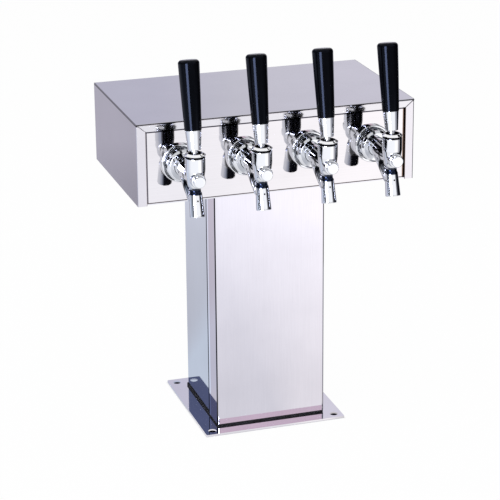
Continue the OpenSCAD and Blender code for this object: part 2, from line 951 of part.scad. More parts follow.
base_plate();
base_gasket();
base_socket();
base_screws();
column_shell();
column_front_cover();
column_foam();
neck_socket();
neck_screws();
head_bottom_panel();
head_left_end();
head_right_end();
head_top_cover();
head_front_panel();
head_back_panel();
head_back_screws();
head_foam();
glycol_loop();
beer_line_1();
beer_line_2();
beer_line_3();
beer_line_4();
shank_flanges();
shanks();
lock_nuts();
tailpieces();
tail_nuts();
coupling_washers();
coupling_nut_1();
coupling_nut_2();
coupling_nut_3();
coupling_nut_4();
faucet_body_1();
faucet_body_2();
faucet_body_3();
faucet_body_4();
front_caps();
ball_seats();
collars();
valve_shaft_1();
valve_shaft_2();
valve_shaft_3();
valve_shaft_4();
seat_washer_1();
seat_washer_2();
seat_washer_3();
seat_washer_4();
lever_1();
lever_2();
lever_3();
lever_4();
ferrule_1();
ferrule_2();
ferrule_3();
ferrule_4();
handle_1();
handle_2();
handle_3();
handle_4();
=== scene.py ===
"""A four-tap draught beer tower in a plain studio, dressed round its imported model.

The housing keeps its packed sheet parts, each with a worked-steel finish. The taps are modelled
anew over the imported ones: cast bodies, drilled nuts, flanges, collars, ferrules and handles.
"""
import logging
import math
from collections.abc import Mapping, Sequence
from dataclasses import dataclass, field
from enum import Enum
from functools import cache

import bmesh
import bpy
from bmesh.types import BMesh
from bpy.types import Material, NodeSocket, NodeTree, Object, World
from mathutils import Matrix, Vector


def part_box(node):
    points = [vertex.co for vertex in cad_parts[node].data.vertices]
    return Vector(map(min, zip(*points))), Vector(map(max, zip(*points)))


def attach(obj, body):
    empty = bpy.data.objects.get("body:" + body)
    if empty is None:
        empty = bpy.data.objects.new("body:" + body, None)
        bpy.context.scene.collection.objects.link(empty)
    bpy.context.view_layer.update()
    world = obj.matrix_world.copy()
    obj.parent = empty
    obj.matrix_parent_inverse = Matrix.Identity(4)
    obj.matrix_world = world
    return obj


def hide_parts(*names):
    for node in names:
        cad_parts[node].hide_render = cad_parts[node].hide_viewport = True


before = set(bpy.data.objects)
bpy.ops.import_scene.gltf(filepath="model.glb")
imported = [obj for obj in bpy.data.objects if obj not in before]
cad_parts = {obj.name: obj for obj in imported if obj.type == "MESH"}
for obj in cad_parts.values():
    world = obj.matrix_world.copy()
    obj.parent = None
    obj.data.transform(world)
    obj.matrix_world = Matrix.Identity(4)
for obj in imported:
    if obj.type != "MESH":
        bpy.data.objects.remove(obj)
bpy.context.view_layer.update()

MM = 0.001
TAPS = (1, 2, 3, 4)
# The middle range of a noise, which a pattern spreads over its own values
MIDDLE = {"From Min": 0.3, "From Max": 0.7}
Point = tuple[float, float]
Triple = tuple[float, float, float]
Corners = Sequence[tuple[float, ...]]
Tones = tuple[tuple[float, str], ...]
log = logging.getLogger("tower")


class Axis(Enum):
    """A direction of the row frame, as its unit vector."""

    X = (1.0, 0.0, 0.0)
    Y = (0.0, 1.0, 0.0)
    Z = (0.0, 0.0, 1.0)


def linear(colour: str) -> tuple[float, float, float, float]:
    """Turns an sRGB hex colour to linear light.

    Args:
        colour: the colour as "#RRGGBB".

    Returns:
        Red, green, blue and an alpha of 1, in linear light.
    """
    shares = [int(colour[i:i + 2], 16) / 255 for i in (1, 3, 5)]
    return (*(c / 12.92 if c <= 0.04045 else ((c + 0.055) / 1.055) ** 2.4 for c in shares), 1.0)


def add(tree: NodeTree, kind: str, sockets: Mapping[str | int, object] | None = None,
        **settings: object) -> NodeSocket | None:
    """Adds a shader node with its settings, values and links.

    Args:
        tree: the node tree that gets it.
        kind: the node's type, without the word ShaderNode.
        sockets: for each input, a value or the output that feeds it.
        settings: the node's own properties.

    Returns:
        The first output that is in use, if there is one.
    """
    made = tree.nodes.new(f"ShaderNode{kind}")
    for name, value in settings.items():
        setattr(made, name, value)
    for name, value in (sockets or {}).items():
        if isinstance(value, NodeSocket):
            tree.links.new(value, made.inputs[name])
        else:
            made.inputs[name].default_value = value
    return next((output for output in made.outputs if output.enabled), None)


def emptied(block: Material | World) -> NodeTree:
    """Gives the node tree of a new material or world, with nothing in it."""
    block.use_nodes = True
    block.node_tree.nodes.clear()
    return block.node_tree


def stretched(tree: NodeTree, place: NodeSocket, pitch_mm: Sequence[float],
              detail: float = 3.0) -> NodeSocket:
    """Adds a noise whose features have their own size along each axis.

    Args:
        tree: the material's node tree.
        place: the point on the object, in metres.
        pitch_mm: the features' size along X, Y and Z.
        detail: octaves of finer noise.

    Returns:
        The noise's output, from 0 to 1.
    """
    scaled = add(tree, "Mapping", {"Vector": place, "Scale": [1 / (p * MM) for p in pitch_mm]})
    return add(tree, "TexNoise", {"Vector": scaled, "Scale": 1.0, "Detail": detail,
                                  "Roughness": 0.55})


@dataclass(frozen=True)
class Finish:
    """A surface finish: a name and the plain values that its shader starts from."""

    name: str
    colour: str
    metallic: float = 0.0
    roughness: float = 0.5
    ior: float = 1.5
    rough_span: Point = (0.75, 1.3)

    def pattern(self, tree: NodeTree, place: NodeSocket) -> dict[str, object]:
        """Works out what varies over the surface.

        Args:
            tree: the material's node tree.
            place: the point on the object, in metres.

        Returns:
            A value or an output for each shader input that the pattern drives.
        """
        raise NotImplementedError

    def darker(self, share: float) -> str:
        """Gives the colour with each channel at a share of itself."""
        return "#" + "".join(f"{int(int(self.colour[i:i + 2], 16) * share):02x}" for i in (1, 3, 5))

    def patched(self, tree: NodeTree, noise: NodeSocket, shade: str) -> NodeSocket:
        """Lays patches of another colour over the finish's own.

        Args:
            tree: the material's node tree.
            noise: where the patches are.
            shade: their colour as "#RRGGBB".

        Returns:
            The colour with the patches.
        """
        share = add(tree, "MapRange", MIDDLE | {"Value": noise})
        return add(tree, "Mix", {0: share, 6: linear(self.colour), 7: linear(shade)},
                   data_type="RGBA")

    def uneven(self, tree: NodeTree, noise: NodeSocket) -> NodeSocket:
        """Varies the roughness over the shares of it that the span gives.

        Args:
            tree: the material's node tree.
            noise: where it is rough.

        Returns:
            The varied roughness.
        """
        least, most = (self.roughness * share for share in self.rough_span)
        return add(tree, "MapRange", MIDDLE | {"Value": noise, "To Min": least, "To Max": most})

    @cache
    def build(self) -> Material:
        """Makes the material, once for each finish.

        Returns:
            The material, under the finish's name.
        """
        made = bpy.data.materials.new(self.name)
        tree = emptied(made)
        place = add(tree, "TexCoord").node.outputs["Object"]
        values = {"Metallic": self.metallic} | self.pattern(tree, place)
        if not self.metallic:
            values["IOR"] = self.ior
        add(tree, "OutputMaterial", {"Surface": add(tree, "BsdfPrincipled", values)})
        made.diffuse_color = linear(self.colour)
        return made


@dataclass(frozen=True)
class PaintedLine:
    """A thin band of painted colour on a sheet, in mm: painted shade along a joint, a fold or an
    edge, a painted highlight on a lip, and a painted reflection tone on a side.
    """

    normal: Triple
    at: float
    half: float
    colour: str
    both_ends: bool = True


@dataclass(frozen=True)
class SheetSteel(Finish):
    """Stainless sheet, linished: short straight scratches along the grain, and hand smudges."""

    metallic: float = 1.0
    roughness: float = 0.16
    grain: Axis = Axis.X
    scratch_mm: float = 0.45
    scratch_l_mm: float = 42.0
    smudge_mm: float = 75.0
    wave_mm: float = 130.0
    wave_depth_mm: float = 0.05
    scratch_depth_mm: float = 0.0006
    scratch_rough: Point = (-0.25, 0.25)
    smudge_rough: Point = (0.88, 1.16)
    dulling: Point = (0.0, 0.5)
    dulled: float = 0.955
    painted_lines: tuple[PaintedLine, ...] = ()
    painted_line_edge_mm: float = 0.12

    def with_painted_lines(self, tree: NodeTree, place: NodeSocket, colour: NodeSocket) -> NodeSocket:
        """Lays the painted lines of shade, highlight and reflection over the sheet's colour.

        Args:
            tree: the material's node tree.
            place: the point on the object, in metres.
            colour: the sheet's own colour.

        Returns:
            The colour with every painted line on it.
        """
        part = add(tree, "SeparateXYZ", {"Vector": place}).node.outputs
        side = add(tree, "Math", {0: part["X"]}, operation="ABSOLUTE")
        folded = add(tree, "CombineXYZ", {"X": side, "Y": part["Y"], "Z": part["Z"]})
        for painted_line in self.painted_lines:
            along = add(tree, "VectorMath", {0: folded if painted_line.both_ends else place,
                                             1: Vector(painted_line.normal).normalized()},
                        operation="DOT_PRODUCT")
            off = add(tree, "Math", {0: along, 1: painted_line.at * MM}, operation="SUBTRACT")
            away = add(tree, "Math", {0: off}, operation="ABSOLUTE")
            inside = add(tree, "MapRange", {
                "Value": away, "From Min": painted_line.half * MM, "To Min": 1.0, "To Max": 0.0,
                "From Max": (painted_line.half + self.painted_line_edge_mm) * MM})
            colour = add(tree, "Mix", {0: inside, 6: colour, 7: linear(painted_line.colour)},
                         data_type="RGBA")
        return colour

    def pattern(self, tree: NodeTree, place: NodeSocket) -> dict[str, object]:
        """Grain for the roughness and the fine bump, a slow wave in the sheet below it, and painted
        lines of shade and highlight on the colour.
        """
        pitch = [self.scratch_l_mm if share else self.scratch_mm for share in self.grain.value]
        scratches = stretched(tree, place, pitch, 4.0)
        smudges = stretched(tree, place, [self.smudge_mm] * 3)
        wave = stretched(tree, place, [self.wave_mm] * 3, 0.5)
        level, dull = (
            add(tree, "Math", {
                number: add(tree, "MapRange", MIDDLE | {"Value": noise, "To Min": low,
                                                        "To Max": high})
                for number, (noise, (low, high)) in enumerate(zip((scratches, smudges), spans))},
                operation="ADD")
            for spans in ((self.scratch_rough, self.smudge_rough), (self.dulling, self.dulling)))
        sheet = add(tree, "Mix", {0: dull, 6: linear(self.colour),
                                  7: linear(self.darker(self.dulled))}, data_type="RGBA")
        lie = add(tree, "Bump", {"Height": wave, "Distance": self.wave_depth_mm * MM})
        return {"Base Color": self.with_painted_lines(tree, place, sheet),
                "Roughness": add(tree, "Math", {0: level, 1: self.roughness},
                                 operation="MULTIPLY"),
                "Normal": add(tree, "Bump", {"Height": scratches, "Normal": lie,
                                             "Distance": self.scratch_depth_mm * MM})}


@dataclass(frozen=True)
class PaintedBand:
    """A band of painted highlight or painted shade on each tap's chrome, in mm, for a reflection in
    the photograph.

    It lies between two planes, at and at + reach along the normal, and only where y is in the
    zone. X runs from the tap's middle, y from its upright axis and z from its shank.
    """

    normal: Triple
    at: float
    reach: float
    zone: Point
    colour: str
    soft: float = 0.4
    within: float = 100.0


@dataclass(frozen=True)
class Chrome(Finish):
    """Bright chrome over a polished casting: a mirror with the casting's faint orange peel, and
    bands of painted highlight and painted shade.
    """

    metallic: float = 1.0
    roughness: float = 0.045
    rough_span: Point = (0.7, 1.7)
    peel_mm: float = 3.5
    peel_depth_mm: float = 0.004
    wipe_mm: Triple = (9.0, 9.0, 26.0)
    painted_bands: tuple[PaintedBand, ...] = ()
    zone_soft: float = 0.2
    pitch: float = 87.0
    shank_z: float = 392.0
    # Two heights over the shank, and how far forwards the spout's or the handle's axis is there
    spout_bend: tuple[float, ...] = (-49.5, -15.0, 183.4, 177.4)
    handle_bend: tuple[float, ...] = (23.0, 123.0, 0.0, -17.6)

    def local(self, tree: NodeTree, place: NodeSocket) -> NodeSocket:
        """Gives the point as its own tap sees it.

        Args:
            tree: the material's node tree.
            place: the point on the object, in metres.

        Returns:
            The point from the tap's upright axis, which bends with the spout and the handle.
        """
        part = add(tree, "SeparateXYZ", {"Vector": place}).node.outputs
        half = self.pitch / 2 * MM
        moved = add(tree, "Math", {0: part["X"], 1: half}, operation="SUBTRACT")
        across = add(tree, "Math", {0: moved, 1: half, 2: -half}, operation="WRAP")
        rise = add(tree, "Math", {0: part["Z"], 1: self.shank_z * MM}, operation="SUBTRACT")
        spout, handle = (
            add(tree, "MapRange", {"Value": rise, "From Min": low * MM, "From Max": high * MM,
                                   "To Min": low_y * MM, "To Max": high_y * MM})
            for low, high, low_y, high_y in (self.spout_bend, self.handle_bend))
        bend = add(tree, "Math", {0: spout, 1: handle}, operation="ADD")
        deep = add(tree, "Math", {0: part["Y"], 1: bend}, operation="ADD")
        return add(tree, "CombineXYZ", {"X": across, "Y": deep, "Z": rise})

    def with_painted_bands(self, tree: NodeTree, place: NodeSocket) -> object:
        """Lays the painted highlight and shade bands over the chrome's colour.

        Args:
            tree: the material's node tree.
            place: the point on the object, in metres.

        Returns:
            The colour with every painted band on it.
        """
        colour: object = linear(self.colour)
        here = self.local(tree, place)
        flat = add(tree, "VectorMath", {0: here, 1: (1.0, 1.0, 0.0)}, operation="MULTIPLY")
        out = add(tree, "VectorMath", {0: flat}, operation="LENGTH")
        deep = add(tree, "SeparateXYZ", {"Vector": place}).node.outputs["Y"]
        for painted_band in self.painted_bands:
            along = add(tree, "VectorMath", {0: here, 1: Vector(painted_band.normal).normalized()},
                        operation="DOT_PRODUCT")
            cover: object = 1.0
            for value, edge, soft in (
                    (along, painted_band.at, painted_band.soft), (along, painted_band.at + painted_band.reach, -painted_band.soft),
                    (out, painted_band.within, -painted_band.soft), (deep, painted_band.zone[0], self.zone_soft),
                    (deep, painted_band.zone[1], -self.zone_soft)):
                inside = add(tree, "MapRange", {"Value": value, "From Min": edge * MM,
                                                "From Max": (edge + soft) * MM})
                cover = add(tree, "Math", {0: inside, 1: cover}, operation="MULTIPLY")
            colour = add(tree, "Mix", {0: cover, 6: colour, 7: linear(painted_band.colour)},
                         data_type="RGBA")
        return colour

    def pattern(self, tree: NodeTree, place: NodeSocket) -> dict[str, object]:
        """Peel for the bump, wiping marks for the roughness and painted bands for the colour."""
        peel = stretched(tree, place, [self.peel_mm] * 3, 1.0)
        return {"Base Color": self.with_painted_bands(tree, place),
                "Roughness": self.uneven(tree, stretched(tree, place, self.wipe_mm)),
                "Normal": add(tree, "Bump", {"Height": peel, "Distance": self.peel_depth_mm * MM})}


@dataclass(frozen=True)
class TurnedMetal(Finish):
    """Metal turned on a lathe or drawn through a die: fine marks across or along its axis."""

    metallic: float = 1.0
    roughness: float = 0.24
    axis: Axis = Axis.Y
    mark_mm: float = 0.35
    mark_l: float = 60.0
    mark_depth_mm: float = 0.004
    stain_mm: float = 14.0
    stained: float = 0.86
    drawn: bool = False

    def pattern(self, tree: NodeTree, place: NodeSocket) -> dict[str, object]:
        """Marks for the roughness and the bump, with patches of handling."""
        across, along = self.mark_mm * self.mark_l, self.mark_mm
        if self.drawn:
            across, along = along, across
        marks = stretched(tree, place, [along if s else across for s in self.axis.value], 2.0)
        stains = stretched(tree, place, [self.stain_mm] * 3, 4.0)
        return {"Base Color": self.patched(tree, stains, self.darker(self.stained)),
                "Roughness": self.uneven(tree, marks),
                "Normal": add(tree, "Bump", {"Height": marks,
                                             "Distance": self.mark_depth_mm * MM})}


@dataclass(frozen=True)
class GlossPlastic(Finish):
    """Compression-moulded phenolic: deep black with a polished skin and faint rubbing marks."""

    roughness: float = 0.1
    ior: float = 1.19
    rough_span: Point = (0.75, 1.45)
    shade: str = "#08080C"
    sheen: tuple[float, ...] = (0.55, 0.68, 1.0, 1.0)
    haze_mm: Triple = (11.0, 11.0, 30.0)
    sink_mm: Triple = (16.0, 16.0, 40.0)
    sink_depth_mm: float = 0.05

    def pattern(self, tree: NodeTree, place: NodeSocket) -> dict[str, object]:
        """Handling haze for the roughness and a slight sink in the moulding for the bump."""
        haze = stretched(tree, place, self.haze_mm, 4.0)
        sink = stretched(tree, place, self.sink_mm, 0.5)
        return {"Base Color": self.patched(tree, haze, self.shade),
                "Specular Tint": self.sheen,
                "Roughness": self.uneven(tree, haze),
                "Normal": add(tree, "Bump", {"Height": sink, "Distance": self.sink_depth_mm * MM})}


@dataclass(frozen=True)
class Matt(Finish):
    """Rubber, acetal or foam: a matt skin with a grain of its own size."""

    rough_span: Point = (0.92, 1.08)
    grain_mm: float = 0.6
    grain_depth_mm: float = 0.03
    patch_mm: float = 22.0
    shade: str = "#000000"
    cells: bool = False

    def pattern(self, tree: NodeTree, place: NodeSocket) -> dict[str, object]:
        """Grain or foam cells for the bump, and patches for the colour and the roughness."""
        patches = stretched(tree, place, [self.patch_mm] * 3, 4.0)
        if self.cells:
            grain = add(tree, "TexVoronoi", {"Vector": place, "Scale": 1 / (self.grain_mm * MM)})
        else:
            grain = stretched(tree, place, [self.grain_mm] * 3)
        return {"Base Color": self.patched(tree, patches, self.shade),
                "Roughness": self.uneven(tree, patches),
                "Normal": add(tree, "Bump", {"Height": grain,
                                             "Distance": self.grain_depth_mm * MM})}


@dataclass(frozen=True)
class Finishes:
    """Every finish of the tower, named for what the real one is, and for the painted shade where a
    finish carries it.
    """

    # The six brushed sheets below are one steel; each copy's colour is set lighter or darker for
    # the faces it covers, as painted light and shade
    # Stainless sheet, grain along the head: a soft streaked reflection
    sheet_across: Finish = SheetSteel("brushed_stainless_across", "#C4C4CB", roughness=0.075)
    # The same sheet on the base plate, wiped cleaner to a lower roughness and painted lighter
    sheet_plate: Finish = SheetSteel("brushed_stainless_plate", "#DAD8DF", roughness=0.06)
    # The same sheet on the head's top, with painted shade lines along its folds, edges and mitres
    sheet_top: Finish = SheetSteel("brushed_stainless_top", "#C0BFC5", roughness=0.075, painted_lines=(
        PaintedLine((0, 1, 1), 336 / math.sqrt(2), 0.55, "#34323A"),
        PaintedLine((0, -1, 1), 336 / math.sqrt(2), 0.55, "#34323A"),
        PaintedLine((1, 0, 0), 187.5, 0.5, "#3A3842"),
        PaintedLine((-10, 0, 12), (4470 * 1.2 - 1875) / math.hypot(10, 12), 0.4, "#4A4852")))
    # The same sheet, grain front to back, on the ends of the head, with painted shade lines just
    # under the top and along the front strip's inner edge
    sheet_deep: Finish = SheetSteel("brushed_stainless_deep", "#C0BEC5", grain=Axis.Y,
                                    roughness=0.08, painted_lines=(
        PaintedLine((0, 0, 1), 445.1, 0.9, "#34323A"), PaintedLine((1, 0, 0), 175.5, 0.35, "#54443E")))
    # The same sheet with its grain up the column, with a painted shade line beside the front
    # cover's lap
    sheet_upright: Finish = SheetSteel("brushed_stainless_upright", "#E1E3E5", grain=Axis.Z,
                                       roughness=0.045, scratch_depth_mm=0.00025, painted_lines=(
        PaintedLine((0, 1, 0), -33.4, 2.0, "#1E1E24"),))
    # The column's front cover: its lapped sides painted a duller, rosier reflection tone, with a
    # painted highlight along the lip and painted shade along the front corners and beside the lap
    sheet_lapped: Finish = SheetSteel("brushed_stainless_lapped", "#CCCAD4", grain=Axis.Z,
                                      roughness=0.045, scratch_depth_mm=0.00025, painted_lines=(
        PaintedLine((1, 0, 0), 76.2, 0.5, "#D6C8CC"), PaintedLine((1, 1, 0), 1.1, 1.3, "#1C1A20"),
        PaintedLine((0, 1, 0), -42.2, 3.0, "#F6F4FA"), PaintedLine((0, 1, 0), -37.2, 2.0, "#1E1E24")))
    # Buffed sheet: shows the taps again, a little wavy and faintly hairlined, with painted shade
    # lines along its left, right, top and bottom edges
    mirror: Finish = SheetSteel("mirror_stainless", "#C8C6CB", roughness=0.035, scratch_mm=0.6,
                                scratch_l_mm=70.0, wave_depth_mm=0.035, scratch_depth_mm=0.00015,
                                painted_lines=(
        PaintedLine((1, 0, 0), 174.3, 1.3, "#7A665C", False),
        PaintedLine((1, 0, 0), -173.6, 0.7, "#4A4852", False),
        PaintedLine((0, 0, 1), 434.8, 0.8, "#3A3842"), PaintedLine((0, 0, 1), 341.1, 0.6, "#4E464A")))
    # Plated zinc castings: hard white lights next to black, with painted bands on each tap: a
    # painted highlight round the collar's shoulder, and painted shade under and inside the collar,
    # on the barrel's back and right side, at the top of the spout and in a crescent on the nut
    chrome: Finish = Chrome("bright_chrome", "#CBCDD2", roughness=0.035, painted_bands=(
        PaintedBand((0, 0, 1), 29.9, 3.0, (-200.0, -158.0), "#F4F4F6"),
        PaintedBand((1, 1, 0), 1.0, 40.0, (-200.0, -158.0), "#1B1B20", soft=3.0),
        PaintedBand((0.94, -0.34, 0), 9.6, 10.0, (-191.0, -158.0), "#0C0C10", soft=0.8, within=13.4),
        PaintedBand((0, 0, 1), 26.5, 3.3, (-200.0, -158.0), "#101014"),
        PaintedBand((0, 0, 1), 19.0, 13.1, (-200.0, -158.0), "#0C0C10", within=9.0),
        PaintedBand((0, 0, 1), -21.0, 7.0, (-191.0, -173.0), "#1C2231"),
        PaintedBand((0.35, 0, -0.94), 16.0, 30.0, (-140.0, -113.2), "#101014", soft=1.0)))
    # Turned bar: lever, valve shaft, shank
    turned: Finish = TurnedMetal("turned_stainless", "#C9CBD0")
    # Drawn tube: marks run along the pipe
    tube: Finish = TurnedMetal("drawn_stainless_tube", "#BFC2C7", axis=Axis.Z, drawn=True)
    # Free-cutting brass nuts, a little tarnished
    brass: Finish = TurnedMetal("machined_brass", "#C7A259", roughness=0.3)
    # Soft copper tube, browned in patches
    copper: Finish = TurnedMetal("drawn_copper_tube", "#C7885F", axis=Axis.Z, drawn=True,
                                 roughness=0.33)
    # Phenolic tap handle: near-black mirror with a soft edge
    phenolic: Finish = GlossPlastic("black_phenolic", "#050507")
    # Rubber gasket and washers: dry black
    rubber: Finish = Matt("black_rubber", "#09090B", roughness=0.72, shade="#101013", ior=1.35)
    # Nylon coat on the lever's ball: black with a soft sheen; the same black is painted shade in
    # the nut's spanner holes
    nylon_and_hole_shade: Finish = Matt("black_nylon_and_hole_shade", "#08080A", roughness=0.45, shade="#0C0C0F", grain_mm=1.5,
                          grain_depth_mm=0.006, ior=1.35)
    # Painted shade in the column's lap joints: dead black strips
    painted_lap_shade: Finish = Matt("black_painted_lap_shade", "#050507", roughness=0.9, shade="#08080A", grain_mm=1.2,
                           grain_depth_mm=0.02, ior=1.05)
    # Acetal seat rings: waxy white
    acetal: Finish = Matt("white_acetal", "#E9E8E2", roughness=0.38, shade="#DEDCD2", grain_mm=2.0,
                          grain_depth_mm=0.01, ior=1.48)
    # Cut polyurethane foam: cream with open cells
    foam: Finish = Matt("rigid_foam", "#E4D7A8", roughness=0.92, shade="#D3C28A", grain_mm=1.1,
                        grain_depth_mm=0.5, cells=True)


def rounded(corners: Corners, step_deg: float) -> list[Vector]:
    """Rounds the corners of an outline.

    Args:
        corners: radius, height and, where the corner is round, its fillet's radius, in mm.
        step_deg: the turn between two points of a fillet.

    Returns:
        The outline's points in metres, as radius, 0 and height.
    """
    points = [Vector((c[0], 0.0, c[1])) * MM for c in corners]
    made = [points[0]]
    for i in range(1, len(corners) - 1):
        here, fillet = points[i], (corners[i][2] * MM if len(corners[i]) > 2 else 0.0)
        back, on = (points[i - 1] - here), (points[i + 1] - here)
        turn = math.pi - back.angle(on)
        if not fillet or turn < 0.01:
            made.append(here)
            continue
        back.normalize()
        on.normalize()
        reach = fillet * math.tan(turn / 2)
        centre = here + (back + on).normalized() * (fillet / math.cos(turn / 2))
        start, end = here + back * reach - centre, here + on * reach - centre
        steps = max(2, math.ceil(math.degrees(turn) / step_deg))
        made += [centre + start.slerp(end, k / steps).normalized() * fillet
                 for k in range(steps + 1)]
    return [*made, points[-1]]


def arc(radius: float, height: float, degrees: Sequence[int]) -> list[Point]:
    """Gives corners on a ball whose middle is on the axis.

    Args:
        radius: the ball's radius, in mm.
        height: its middle's height.
        degrees: where the corners are, from the ball's lowest point.

    Returns:
        The radius and height of each corner.
    """
    return [(radius * math.sin(a), height - radius * math.cos(a))
            for a in map(math.radians, degrees)]


def lathe(bm: BMesh, corners: Corners, place: Matrix, steps: int = 96,
          step_deg: float = 15.0) -> None:
    """Turns an outline about the local Z axis and adds it to a bmesh.

    Args:
        bm: the bmesh that gets the shape.
        corners: the outline's corners, as rounded() takes them.
        place: where the local axis lies in the row frame.
        steps: the number of faces round the axis.
        step_deg: the turn between two points of a fillet.
    """
    turned = bmesh.new()
    verts = [turned.verts.new(point) for point in rounded(corners, step_deg)]
    edges = [turned.edges.new(pair) for pair in zip(verts, verts[1:])]
    bmesh.ops.spin(turned, geom=[*verts, *edges], cent=(0, 0, 0), axis=(0, 0, 1),
                   angle=math.tau, steps=steps, use_merge=True)
    bmesh.ops.remove_doubles(turned, verts=turned.verts, dist=1e-6)
    bmesh.ops.recalc_face_normals(turned, faces=turned.faces)
    bmesh.ops.transform(turned, matrix=place, verts=turned.verts)
    mesh = bpy.data.meshes.new("turned")
    turned.to_mesh(mesh)
    turned.free()
    bm.from_mesh(mesh)
    bpy.data.meshes.remove(mesh)


def shown(name: str, data: bpy.types.ID) -> Object:
    """Makes an object of a mesh, a lamp or a camera and puts it in the scene."""
    made = bpy.data.objects.new(name, data)
    bpy.context.scene.collection.objects.link(made)
    return made


def placed(name: str, bm: BMesh, closed: bool = False) -> Object:
    """Makes an object of a bmesh.

    Args:
        name: the object's name.
        bm: the bmesh, which is freed.
        closed: whether it is a closed shape, whose faces are to point outwards.

    Returns:
        The new object, with its place in its mesh.
    """
    if closed:
        bmesh.ops.recalc_face_normals(bm, faces=list(bm.faces))
    mesh = bpy.data.meshes.new(name)
    bm.to_mesh(mesh)
    bm.free()
    return shown(name, mesh)


def as_piece(name: str, bm: BMesh, finish: Finish) -> Object:
    """Makes a piece of a closed bmesh, which is freed, and gives it a finish."""
    piece = placed(name, bm, closed=True)
    piece.data.materials.append(finish.build())
    return piece


def weighted(piece: Object, sharp_deg: float = 40.0) -> Object:
    """Shades a piece smooth, with flats that stay flat beside their fillets.

    Args:
        piece: the object.
        sharp_deg: edges that turn more than this stay sharp.

    Returns:
        The same object.
    """
    for face in piece.data.polygons:
        face.use_smooth = True
    piece.data.set_sharp_from_angle(angle=math.radians(sharp_deg))
    modifier = piece.modifiers.new("weighted", "WEIGHTED_NORMAL")
    modifier.keep_sharp = True
    modifier.weight = 60
    return piece


def settle(piece: Object, body: str, slot: str, *nodes: str) -> None:
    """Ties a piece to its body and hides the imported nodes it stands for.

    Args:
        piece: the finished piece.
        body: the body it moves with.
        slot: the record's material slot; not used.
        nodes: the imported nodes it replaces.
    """
    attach(piece, body)
    if nodes:
        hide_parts(*nodes)
    log.info("%s: %d faces on %s, for %s", piece.name, len(piece.data.polygons), body,
             ", ".join(nodes) or "itself")


def applied(piece: Object) -> None:
    """Turns a piece's modifiers into its mesh."""
    graph = bpy.context.evaluated_depsgraph_get()
    mesh = bpy.data.meshes.new_from_object(piece.evaluated_get(graph))
    old = piece.data
    piece.modifiers.clear()
    piece.data = mesh
    bpy.data.meshes.remove(old)


def carved(piece: Object, cutter: BMesh) -> None:
    """Cuts a closed shape out of a piece.

    Args:
        piece: the object that loses the shape.
        cutter: the shape, which is freed.
    """
    tool = placed("cutter", cutter, closed=True)
    modifier = piece.modifiers.new("cut", "BOOLEAN")
    modifier.operation = "DIFFERENCE"
    modifier.solver = "EXACT"
    modifier.object = tool
    applied(piece)
    mesh = tool.data
    bpy.data.objects.remove(tool)
    bpy.data.meshes.remove(mesh)


